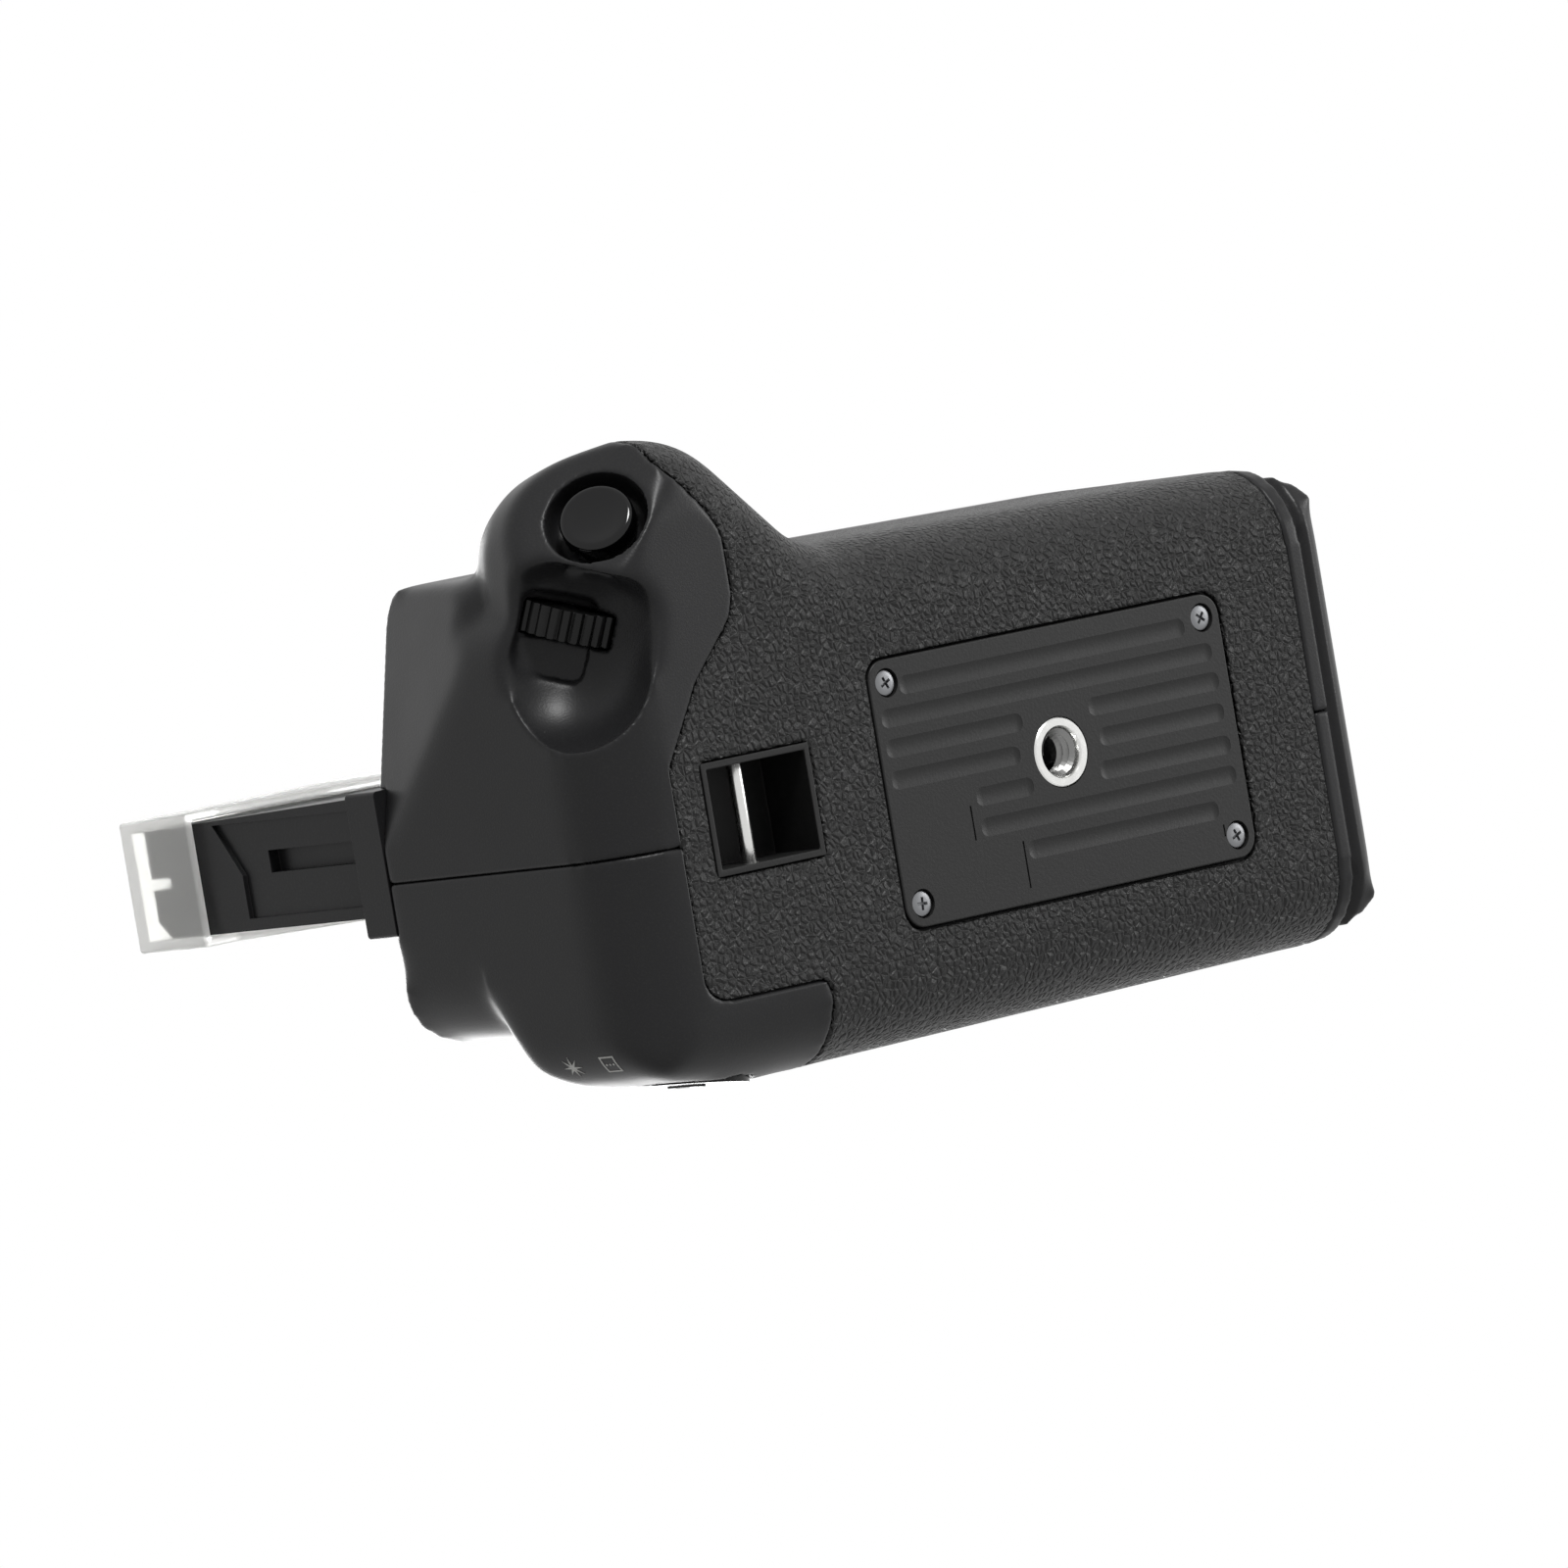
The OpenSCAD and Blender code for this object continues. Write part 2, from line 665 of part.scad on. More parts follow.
// Shallow lines along the plate.
module plate_grooves() {
  for (i = [-groove_side:groove_side]) {
    y = plate_off_y + i*groove_pitch;
    for (r = groove_runs(y)) if (r[1] - r[0] > groove_pitch)
      box([r[0], y - groove_w/2, plate_face_z - 1], [r[1], y + groove_w/2, plate_face_z + groove_d]);
  }
}

module tripod_plate_screws() {
  color("#9a9b9d") at_plate_screws() translate([0, 0, plate_head_z]) mirror([0, 0, 1])
    small_screw(plate_shaft_z - 0.5);
}

module tripod_socket() {
  color("#d5d6d8") difference() {
    union() {
      cylinder(r = socket_flange_r, h = flange_t);
      cylinder(r = thread_r + socket_wall, h = socket_z);
    }
    translate([0, 0, -1]) cylinder(r = thread_r, h = socket_z + 2);
  }
}

module strap_window_liner() {
  color("#29292a") difference() {
    intersection() {
      window_box(0, window_d);
      box([-far, -far, 0], [far, far, far]);
    }
    box([window_x - window_l/2 + window_wall, window_y - window_w/2 + window_wall, -1],
      [window_x + window_l/2 - window_wall - 3, window_y + window_w/2 - window_wall, window_d - window_wall]);
    box([window_x - window_l/2 + window_wall, window_y - window_w/2 + window_wall, -1],
      [window_x + window_l/2 - window_wall, window_y + window_w/2 - window_wall, window_d/2]);
    translate([window_x + 0.5, window_y - window_w/2, bar_r + 3]) rotate([-90, 0, 0])
      cylinder(r = bar_r, h = window_w);
  }
}

module strap_bar() {
  color("#d8d9da") translate([window_x + 0.5, window_y - window_w/2, bar_r + 3]) rotate([-90, 0, 0])
    cylinder(r = bar_r, h = window_w);
}

module shutter_button() {
  color("#0d0d0d") at_button() {
    translate([0, 0, button_proud - button_h]) cylinder(r = button_r, h = button_h - 0.6);
    translate([0, 0, button_proud - 0.6]) cylinder(r1 = button_r, r2 = button_r - 0.8, h = 0.6);
    translate([0, 0, -stem_l]) cylinder(r = stem_r, h = stem_l - button_h + button_proud + eps);
  }
}

module shutter_switch() {
  color("#3a3a3a") at_button() translate([0, 0, -stem_l - button_travel - slip - switch_h]) {
    translate([-switch_s/2, -switch_s/2, 0]) cube([switch_s, switch_s, switch_h]);
  }
}

module main_dial() {
  color("#1b1b1c") in_pod() translate(dial_at) rotate([-90, 0, 0]) difference() {
    cylinder(r = dial_r, h = dial_w, center = true);
    cylinder(r = dial_shaft_r + run, h = dial_w + 2, center = true);
    for (i = [0:dial_grooves - 1]) rotate([0, 0, i*360/dial_grooves])
      translate([dial_r, 0, 0]) rotate([0, 0, 45]) cube([knurl_s, knurl_s, dial_w + 2], center = true);
  }
}

module dial_shaft() {
  color("#b9bbbd") in_pod() translate(dial_at) rotate([-90, 0, 0])
    cylinder(r = dial_shaft_r, h = dial_shaft_l, center = true);
}

module dial_encoder() {
  color("#3b5a44") in_pod() translate(dial_at) difference() {
    translate([-encoder_s/2, -dial_w/2 - dial_side - encoder_t, -encoder_s/2])
      cube([encoder_s, encoder_t, encoder_s]);
    rotate([-90, 0, 0]) cylinder(r = dial_shaft_r, h = dial_shaft_l + 2, center = true);
  }
}

module rear_button(x) {
  at_rear_button(x) {
    translate([0, 0, -rear_button_depth + rear_button_travel + slip])
      cylinder(r = rear_button_r, h = rear_button_depth - rear_button_travel - slip + rear_button_proud - 0.4);
    translate([0, 0, rear_button_proud - 0.4 - eps])
      cylinder(r1 = rear_button_r, r2 = rear_button_r - 0.5, h = 0.4);
  }
}

module ae_lock_button() {
  color("#1c1c1d") rear_button(rear_button_x[2]);
}

module af_point_button() {
  color("#1c1c1d") rear_button(rear_button_x[1]);
}

module exposure_button() {
  color("#1c1c1d") rear_button(rear_button_x[0]);
}

module rear_button_switches() {
  color("#4a4a4a") for (x = rear_button_x) at_rear_button(x)
    translate([-2, -2, -rear_button_depth - rear_switch_h]) cube([4, 4, rear_switch_h]);
}

module power_switch() {
  color("#151516") at_power() {
    translate([0, 0, -power_recess]) cylinder(r = power_r, h = power_recess + power_proud);
    translate([0, 0, -power_recess - power_stem_l]) cylinder(r = power_stem_r, h = power_stem_l + eps);
    translate([-power_rib/2, 0, power_proud - eps]) cube([power_rib, power_r - power_rib/2, power_rib_h]);
  }
}

// Straight-sided gear whose first tooth points along +X.
module gear(teeth, h) {
  pitch_r = gear_module*teeth/2;
  root_r = pitch_r - 1.1*gear_module;
  linear_extrude(h) union() {
    circle(r = root_r);
    for (i = [0:teeth - 1]) rotate(i*360/teeth)
      polygon([[root_r - 1, -0.95*gear_module], [root_r, -0.85*gear_module], [pitch_r, -0.6*gear_module],
        [pitch_r + 0.8*gear_module, -0.3*gear_module], [pitch_r + 0.8*gear_module, 0.3*gear_module],
        [pitch_r, 0.6*gear_module], [root_r, 0.85*gear_module], [root_r - 1, 0.95*gear_module]]);
  }
}

module thumb_wheel() {
  color("#202021") translate([wheel_x, wheel_y, gear_z]) difference() {
    union() {
      rotate([0, 0, mesh_angle]) gear(wheel_teeth, gear_t + eps);
      translate([0, 0, gear_t + slip/2]) difference() {
        cylinder(r = wheel_r, h = gear_t);
        for (i = [0:35]) rotate([0, 0, i*10]) translate([wheel_r, 0, gear_t/2]) rotate([0, 0, 45])
          cube([0.9, 0.9, gear_t + 1], center = true);
      }
      translate([0, 0, gear_t - eps]) cylinder(r = wheel_pin_r + 3, h = slip);
    }
    translate([0, 0, -1]) cylinder(r = wheel_pin_r + run, h = far/10);
  }
}

module thumb_wheel_pin() {
  color("#b9bbbd") translate([wheel_x, wheel_y, chamber_top])
    cylinder(r = wheel_pin_r, h = seat_z - seat_t/2 - chamber_top - 2*eps);
}

module camera_screw() {
  color("#cfd0d2") {
    translate([0, 0, chamber_top + eps]) cylinder(r = pivot_r, h = seat_z - chamber_top);
    translate([0, 0, gear_z + gear_t])
      cylinder(r = thread_r - screw_relief, h = seat_z + slip - gear_z - gear_t);
    translate([0, 0, seat_z + slip - eps]) cylinder(r = thread_r, h = screw_reach - screw_tip - slip + eps);
    translate([0, 0, seat_z + screw_reach - screw_tip - eps])
      cylinder(r1 = thread_r, r2 = thread_r - screw_relief - 0.4, h = screw_tip);
  }
}

module camera_screw_gear() {
  color("#8d8f92") translate([0, 0, gear_z]) difference() {
    rotate([0, 0, 180 + mesh_angle + 180/screw_teeth]) gear(screw_teeth, gear_t);
    translate([0, 0, -1]) cylinder(r = pivot_r, h = gear_t + 2);
  }
}

module tongue_collar() {
  color("#2e2e2f") difference() {
    collar_box(0, seat_z - seat_t, seat_z + collar_h);
    tongue_body(0);
  }
}

// Tapered post that goes into the camera's battery bay, grown by g.
module tongue_body(g) {
  along_x([[-tongue_rear_y - g, seat_z - seat_t], [tongue_front_y + tongue_taper + g, seat_z - seat_t],
    [tongue_front_y + g, tongue_tip_z + g], [-tongue_rear_y + 2.4 - g, tongue_tip_z + g],
    [-tongue_rear_y - g, tongue_tip_z - 2.4 + g]], tongue_x - tongue_w - g, tongue_x + g);
}

module tongue() {
  color("#2b2b2c") difference() {
    tongue_body(0);
    translate([tongue_x - 0.7, 0, 0]) rotate([90, 0, 90]) linear_extrude(2)
      polygon([[-tongue_rear_y + 1.6, seat_z + collar_h + 1], [tongue_front_y - 0.2, seat_z + collar_h + 1],
        [tongue_front_y - 0.2, 87.6], [1, 82.8], [-tongue_rear_y + 1.6, 82.8]]);
    box([tongue_x - 2.4, 1, seat_z + collar_h + 1], [tongue_x + 1, 4, 77.4]);
    box([tongue_x - 3, 0.3, tongue_tip_z - 4], [tongue_x + 1, 1.8, tongue_tip_z + 1]);
    at_contacts() cube([1.4, 8, 12], center = true);
  }
}

module at_contacts() {
  for (i = [0:contact_count - 1])
    translate([tongue_x - tongue_w + 6 + i*contact_pitch, 1, tongue_tip_z - 3]) children();
}

module tongue_contacts() {
  color("#c9a64a") at_contacts() translate([0, 0, -1.5]) cube([1.4, 8, 9], center = true);
}

// Clear cover over the tip, cut off aslant so that its far wall is long.
module tongue_cap() {
  g = cap_gap + cap_wall;
  low = seat_z + collar_h + slip;
  color("#e4e4e2") difference() {
    hull_cap(g, tongue_tip_z + cap_head);
    difference() {
      hull_cap(cap_gap, tongue_tip_z + cap_head - cap_wall);
      for (x = [0.2, 0.8]) box([tongue_x - tongue_w*x - 1, -far, tongue_tip_z + cap_gap],
        [tongue_x - tongue_w*x + 1, far, far]);
    }
    rotate([90, 0, 0]) translate([0, 0, -far/2]) linear_extrude(far)
      polygon([[tongue_x - tongue_w - 9, low], [tongue_x - tongue_w + 4, low], [tongue_x - 14, 80],
        [tongue_x - 4, 91], [far, 91], [far, 0], [tongue_x - tongue_w - 9, 0]]);
  }
}

// Straight prism round the tongue, open downwards, up to z1.
module hull_cap(g, z1) {
  along_x([[-tongue_rear_y - g, seat_z], [tongue_front_y + tongue_taper + g, seat_z], [tongue_front_y + g, z1],
    [-tongue_rear_y - g, z1]], tongue_x - tongue_w - g, tongue_x + g);
}

module magazine_frame() {
  color("#3a3a3b") difference() {
    box([-tail_x, -tray_w/2, tray_z], [tray_in_x, tray_w/2, tray_z + tray_h]);
    for (z = [tray_z - 1, tray_z + bay_h + web_t])
      box([-tail_x + bulkhead, -pack_w/2 - slip/2, z],
        [tray_in_x - tray_wall, pack_w/2 + slip/2, z + bay_h + 1]);
    box([-tail_x - 1, latch_y - latch_cam_w, latch_z - latch_cam_w],
      [-tail_x + latch_cam_t + 2*slip, tray_w/2 + 1, latch_z + latch_cam_l + 1]);
    translate([-tail_x - 1, latch_y, latch_z]) rotate([0, 90, 0])
      cylinder(r = latch_shaft_r + run, h = bulkhead);
  }
}

module magazine_end_cover() {
  color("#262627") difference() {
    union() {
      intersection() {
        form(0);
        box([-far, -far, -far], [-tail_x - slip - rim_gap, far, far]);
      }
      intersection() {
        form(rim_step);
        box([-tail_x - slip - rim_gap - 1, -far, -far], [-tail_x - slip, far, far]);
      }
      box([-tail_x - slip - 1, -tray_w/2, tray_z], [-tail_x, tray_w/2, tray_z + tray_h]);
    }
    translate([-tail_x - 2*cover_t, latch_y, latch_z]) rotate([0, 90, 0])
      cylinder(r = knob_r + slip, h = cover_t + knob_t + slip);
    translate([-far/2, latch_y, latch_z]) rotate([0, 90, 0]) cylinder(r = latch_shaft_r + run, h = far);
  }
}

module latch_knob() {
  color("#1d1d1e") translate([-tail_x - cover_t, latch_y, latch_z]) rotate([0, 90, 0]) {
    difference() {
      cylinder(r = knob_r, h = knob_t);
      for (s = [-1, 1]) translate([-knob_r*0.75, s > 0 ? 1.3 : -knob_r*0.75, -1])
        cube([knob_r*1.5, knob_r*0.75 - 1.3, 2.4]);
    }
    translate([0, 0, knob_t - eps]) cylinder(r = latch_shaft_r, h = cover_t - knob_t + slip);
  }
}

module latch_cam() {
  color("#b5b7b9") translate([-tail_x + slip, latch_y, latch_z]) rotate([0, 90, 0]) {
    cylinder(r = latch_shaft_r, h = bulkhead - 1.6);
    difference() {
      translate([-latch_cam_l + 0.4, -latch_cam_w/2 + 0.4, 0])
        cube([latch_cam_l, latch_cam_w - 0.8, latch_cam_t]);
      translate([0, 0, -1]) cylinder(r = latch_shaft_r, h = 4);
    }
  }
}

module battery(z) {
  color("#3f4144") difference() {
    box([-tail_x + bulkhead + slip/2, -pack_w/2, z],
      [-tail_x + bulkhead + slip/2 + pack_l, pack_w/2, z + pack_t]);
    for (i = [0:3]) box([-tail_x + bulkhead + pack_l - 1.6, -8 + i*5, z + 3],
      [-tail_x + bulkhead + pack_l + 2, -5.6 + i*5, z + 6]);
  }
}

module battery_upper() {
  battery(tray_z + bay_h + web_t);
}

module battery_lower() {
  battery(tray_z + bay_h - pack_t);
}

module magazine_contacts() {
  color("#c9a64a") for (z = [tray_z + bay_h/2, tray_z + bay_h*1.5 + web_t], y = [-8, 8])
    box([tray_in_x, y - 2, z - 4], [tray_in_x + contact_t, y + 2, z + 4]);
}

module chamber_contacts() {
  color("#c9a64a") for (z = [tray_z + bay_h/2, tray_z + bay_h*1.5 + web_t], y = [-8, 8])
    box([tray_in_x + contact_t + slip, y - 1.5, z - 3], [chamber_x - board_t, y + 1.5, z + 3]);
}

module main_board() {
  color("#2f5a3c") box([chamber_x - board_t, -chamber_w/2, chamber_z], [chamber_x, chamber_w/2, chamber_top]);
}

front_shell();
rear_shell();
grip_rubber();
seat_plate();
seat_screws();
locating_pins();
tripod_plate();
tripod_plate_screws();
tripod_socket();
strap_window_liner();
strap_bar();
shutter_button();
shutter_switch();
main_dial();
dial_shaft();
dial_encoder();
ae_lock_button();
af_point_button();
exposure_button();
rear_button_switches();
power_switch();
thumb_wheel();
thumb_wheel_pin();
camera_screw();
camera_screw_gear();
tongue_collar();
tongue();
tongue_contacts();
tongue_cap();
magazine_frame();
magazine_end_cover();
latch_knob();
latch_cam();
battery_upper();
battery_lower();
magazine_contacts();
chamber_contacts();
main_board();
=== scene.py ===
"""Looks of a camera battery grip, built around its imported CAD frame.

Every piece sits in the CAD frame, in metres: the origin is the tripod socket on the bottom face, +X runs to
the shutter end, +Y to the front and +Z to the camera. Sizes in the classes are in millimetres.
"""
import logging
import math
from contextlib import contextmanager
from dataclasses import dataclass
from enum import Enum
from typing import Any, Iterator, Sequence

import bpy
from mathutils import Matrix, Vector
from mathutils.kdtree import KDTree


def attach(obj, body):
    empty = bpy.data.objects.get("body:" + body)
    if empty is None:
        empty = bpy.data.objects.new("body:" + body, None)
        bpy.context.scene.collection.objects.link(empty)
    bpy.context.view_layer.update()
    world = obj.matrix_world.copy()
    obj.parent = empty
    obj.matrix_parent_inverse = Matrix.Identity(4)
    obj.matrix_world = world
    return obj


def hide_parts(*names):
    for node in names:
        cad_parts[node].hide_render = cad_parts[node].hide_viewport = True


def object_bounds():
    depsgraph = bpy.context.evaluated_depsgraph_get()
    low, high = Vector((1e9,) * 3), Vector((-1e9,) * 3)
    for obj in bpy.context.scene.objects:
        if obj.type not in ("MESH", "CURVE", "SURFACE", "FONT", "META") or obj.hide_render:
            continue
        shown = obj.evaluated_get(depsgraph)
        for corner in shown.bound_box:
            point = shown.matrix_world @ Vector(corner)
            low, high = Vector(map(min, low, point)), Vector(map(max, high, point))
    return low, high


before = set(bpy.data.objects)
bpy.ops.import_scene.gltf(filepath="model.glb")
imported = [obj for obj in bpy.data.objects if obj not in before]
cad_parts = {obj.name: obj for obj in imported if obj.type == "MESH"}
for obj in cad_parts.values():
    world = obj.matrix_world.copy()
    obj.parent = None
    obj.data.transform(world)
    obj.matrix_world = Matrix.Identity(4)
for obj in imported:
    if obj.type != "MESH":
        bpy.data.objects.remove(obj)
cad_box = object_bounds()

MM = 0.001
LOG = logging.getLogger("battery_grip")
Point = tuple[float, float, float]


class Body(Enum):
    """Bodies of the frame that pieces ride on."""

    HOUSING = "housing"
    SHUTTER = "shutter"
    DIAL = "dial"
    AE_LOCK = "ae_lock"
    AF_POINT = "af_point"
    EXPOSURE = "exposure"
    POWER = "power"
    WHEEL = "wheel"
    SCREW = "screw"
    CAP = "cap"
    MAGAZINE = "magazine"
    LATCH = "latch"


class Slot(Enum):
    """Material slots of the record."""

    SHELL = "shell_plastic"
    RUBBER = "grip_rubber"
    PLATE = "plate_plastic"
    STEEL = "steel"
    BRIGHT = "bright_metal"
    TRIM = "trim_plastic"
    BUTTON_GLOSS = "button_gloss"
    DIAL = "dial_plastic"
    BUTTON_SATIN = "button_satin"
    TONGUE = "tongue_plastic"
    CAP = "cap_clear"
    TRAY = "tray_plastic"
    PACK = "battery_plastic"


def linear(code: str) -> tuple[float, float, float, float]:
    """Turns an sRGB hex colour to linear.

    Args:
        code: Colour such as "#2c2c2c".

    Returns:
        Linear red, green, blue and an alpha of 1.
    """
    parts = [int(code[i:i + 2], 16) / 255 for i in (1, 3, 5)]
    red, green, blue = (c / 12.92 if c <= 0.04045 else ((c + 0.055) / 1.055) ** 2.4 for c in parts)
    return red, green, blue, 1.0


def add_node(tree: bpy.types.NodeTree, kind: str, inputs: dict[Any, Any] | None = None,
             **settings: Any) -> bpy.types.Node:
    """Adds a shader node with its settings and links.

    Args:
        tree: Node tree that gets the node.
        kind: Node type.
        inputs: Socket name or number to a value, or to the output socket that is linked to it.
        settings: Attributes of the node.

    Returns:
        The new node.
    """
    node = tree.nodes.new(kind)
    for name, value in settings.items():
        setattr(node, name, value)
    for key, value in (inputs or {}).items():
        if isinstance(value, bpy.types.NodeSocket):
            tree.links.new(value, node.inputs[key])
        else:
            node.inputs[key].default_value = value
    return node


@dataclass(frozen=True)
class Finish:
    """A surface finish: its name, its colour and how rough it is."""

    name: str
    colour: str
    roughness: float

    def material(self) -> bpy.types.Material:
        """Makes the material, or finds it if it is already made.

        Returns:
            The finish's material.
        """
        found = bpy.data.materials.get(self.name)
        if found:
            return found
        made = bpy.data.materials.new(self.name)
        made.use_nodes = True
        tree = made.node_tree
        shader = tree.nodes["Principled BSDF"]
        shader.inputs["Base Color"].default_value = linear(self.colour)
        shader.inputs["Roughness"].default_value = self.roughness
        self.dress(tree, shader, tree.nodes.new("ShaderNodeTexCoord").outputs["Object"])
        return made

    def dress(self, tree: bpy.types.NodeTree, shader: bpy.types.Node, place: bpy.types.NodeSocket) -> None:
        """Adds the finish's own nodes; a plain finish has none."""

    def tint(self, tree: bpy.types.NodeTree, shader: bpy.types.Node, factor: bpy.types.NodeSocket,
             other: str) -> None:
        """Mixes the colour with another one over the surface.

        Args:
            tree: Node tree.
            shader: Shader whose base colour is mixed.
            factor: Share of the other colour.
            other: The other colour, in hex.
        """
        mix = add_node(tree, "ShaderNodeMix", {0: factor, 6: linear(self.colour), 7: linear(other)},
                       data_type="RGBA")
        tree.links.new(mix.outputs[2], shader.inputs["Base Color"])

    def vary_roughness(self, tree: bpy.types.NodeTree, shader: bpy.types.Node, factor: bpy.types.NodeSocket,
                       spread: float) -> None:
        """Spreads the roughness about its mean.

        Args:
            tree: Node tree.
            shader: Shader whose roughness varies.
            factor: Value from 0 to 1 that drives it.
            spread: How far it goes each way.
        """
        span = add_node(tree, "ShaderNodeMapRange", {"Value": factor, "To Min": self.roughness - spread,
                                                     "To Max": self.roughness + spread})
        tree.links.new(span.outputs[0], shader.inputs["Roughness"])


@dataclass(frozen=True)
class MouldedPlastic(Finish):
    """Injection-moulded ABS with a spark-eroded texture: fine pits that break up the gloss into a satin."""

    grain_mm: float = 0.32
    depth_mm: float = 0.02
    cloud_mm: float = 16.0
    specular: float = 0.2
    rubbed: str = "#2a2a2a"

    def dress(self, tree: bpy.types.NodeTree, shader: bpy.types.Node, place: bpy.types.NodeSocket) -> None:
        """Adds pits, clouds of handling gloss and paler rubbed spots."""
        shader.inputs["Specular IOR Level"].default_value = self.specular
        pits = add_node(tree, "ShaderNodeTexNoise", {"Vector": place, "Scale": 1 / (self.grain_mm * MM),
                                                     "Detail": 3.0, "Roughness": 0.6})
        clouds = add_node(tree, "ShaderNodeTexNoise", {"Vector": place, "Scale": 1 / (self.cloud_mm * MM),
                                                       "Detail": 2.0})
        spots = add_node(tree, "ShaderNodeMapRange", {"Value": pits.outputs["Fac"], "From Min": 0.5,
                                                      "From Max": 0.8, "To Max": 0.6})
        self.tint(tree, shader, spots.outputs[0], self.rubbed)
        self.vary_roughness(tree, shader, clouds.outputs["Fac"], 0.09)
        bump = add_node(tree, "ShaderNodeBump", {"Strength": 1.0, "Distance": self.depth_mm * MM,
                                                 "Height": pits.outputs["Fac"]})
        tree.links.new(bump.outputs[0], shader.inputs["Normal"])


@dataclass(frozen=True)
class LeatherGrainRubber(Finish):
    """Moulded elastomer skin with a leather grain: pebbles parted by creases darkened with painted shade, dull
    between small glints.
    """

    pebble_mm: float = 1.1
    fine_mm: float = 0.25
    stir_mm: float = 0.9
    stir_scale: float = 2.4
    depth_mm: float = 0.3

    def dress(self, tree: bpy.types.NodeTree, shader: bpy.types.Node, place: bpy.types.NodeSocket) -> None:
        """Adds the pebbles, their creases darkened with painted shade, and a fine tooth."""
        shader.inputs["Specular IOR Level"].default_value = 0.24
        stir = add_node(tree, "ShaderNodeTexNoise",
                        {"Vector": place, "Scale": 1 / (self.stir_scale * self.pebble_mm * MM), "Detail": 2.0})
        moved = add_node(tree, "ShaderNodeVectorMath", {0: stir.outputs["Color"], 1: (self.stir_mm * MM,) * 3},
                         operation="MULTIPLY")
        bent = add_node(tree, "ShaderNodeVectorMath", {0: place, 1: moved.outputs[0]}, operation="ADD")
        cells = add_node(tree, "ShaderNodeTexVoronoi", {"Vector": bent.outputs[0],
                                                        "Scale": 1 / (self.pebble_mm * MM)},
                         feature="DISTANCE_TO_EDGE")
        dome = add_node(tree, "ShaderNodeMapRange", {"Value": cells.outputs["Distance"], "From Max": 0.32},
                        interpolation_type="SMOOTHSTEP")
        fine = add_node(tree, "ShaderNodeTexNoise", {"Vector": place, "Scale": 1 / (self.fine_mm * MM),
                                                     "Detail": 2.0})
        height = add_node(tree, "ShaderNodeMath", {0: fine.outputs["Fac"], 1: 0.35, 2: dome.outputs[0]},
                          operation="MULTIPLY_ADD")
        # Painted shade: the colour darkens towards #0b0b0b along the creases between pebbles, where shade
        # would fall.
        painted_crease_shade = add_node(tree, "ShaderNodeMapRange", {"Value": dome.outputs[0], "To Min": 1.0, "To Max": 0.0})
        self.tint(tree, shader, painted_crease_shade.outputs[0], "#0b0b0b")
        self.vary_roughness(tree, shader, fine.outputs["Fac"], 0.1)
        bump = add_node(tree, "ShaderNodeBump", {"Strength": 1.0, "Distance": self.depth_mm * MM,
                                                 "Height": height.outputs[0]})
        tree.links.new(bump.outputs[0], shader.inputs["Normal"])


@dataclass(frozen=True)
class PlatedMetal(Finish):
    """Nickel or zinc plate over turned steel: bright, with faint tool lines and dull patches."""

    line_mm: float = 0.3
    stretch: Point = (1.0, 1.0, 6.0)

    def dress(self, tree: bpy.types.NodeTree, shader: bpy.types.Node, place: bpy.types.NodeSocket) -> None:
        """Adds the tool lines."""
        shader.inputs["Metallic"].default_value = 1.0
        scaled = add_node(tree, "ShaderNodeMapping", {"Vector": place, "Scale": self.stretch})
        lines = add_node(tree, "ShaderNodeTexNoise", {"Vector": scaled.outputs[0],
                                                      "Scale": 1 / (self.line_mm * 6 * MM), "Detail": 4.0})
        self.vary_roughness(tree, shader, lines.outputs["Fac"], 0.1)
        bump = add_node(tree, "ShaderNodeBump", {"Strength": 0.4, "Distance": 0.01 * MM,
                                                 "Height": lines.outputs["Fac"]})
        tree.links.new(bump.outputs[0], shader.inputs["Normal"])


@dataclass(frozen=True)
class PolishedPlastic(Finish):
    """Polished black ABS: a clear reflection, with faint finger smears in its gloss."""

    smear_mm: float = 3.0

    def dress(self, tree: bpy.types.NodeTree, shader: bpy.types.Node, place: bpy.types.NodeSocket) -> None:
        """Adds the smears."""
        shader.inputs["Specular IOR Level"].default_value = 0.3
        smear = add_node(tree, "ShaderNodeTexNoise",
                         {"Vector": place, "Scale": 1 / (self.smear_mm * MM), "Detail": 3.0})
        self.vary_roughness(tree, shader, smear.outputs["Fac"], 0.05)


@dataclass(frozen=True)
class FrostedPolythene(Finish):
    """Natural low-density polythene, moulded thin: milky, so what is behind it shows as a soft grey."""

    wave_mm: float = 9.0
    wave_depth_mm: float = 0.15

    def dress(self, tree: bpy.types.NodeTree, shader: bpy.types.Node, place: bpy.types.NodeSocket) -> None:
        """Lets light through and adds slow waves of thickness."""
        shader.inputs["Transmission Weight"].default_value = 0.72
        shader.inputs["IOR"].default_value = 1.2
        shader.inputs["Specular IOR Level"].default_value = 0.3
        waves = add_node(tree, "ShaderNodeTexNoise",
                         {"Vector": place, "Scale": 1 / (self.wave_mm * MM), "Detail": 2.0})
        self.vary_roughness(tree, shader, waves.outputs["Fac"], 0.08)
        bump = add_node(tree, "ShaderNodeBump", {"Strength": 0.25, "Distance": self.wave_depth_mm * MM,
                                                 "Height": waves.outputs["Fac"]})
        tree.links.new(bump.outputs[0], shader.inputs["Normal"])


@dataclass(frozen=True)
class BoardLaminate(Finish):
    """Glass-fibre board under green solder mask: the woven cloth shows as a faint check."""

    thread_mm: float = 0.5

    def dress(self, tree: bpy.types.NodeTree, shader: bpy.types.Node, place: bpy.types.NodeSocket) -> None:
        """Adds the cloth's check."""
        check = add_node(tree, "ShaderNodeTexChecker", {"Vector": place, "Scale": 1 / (self.thread_mm * MM)})
        self.tint(tree, shader, check.outputs["Fac"], "#1c4a30")


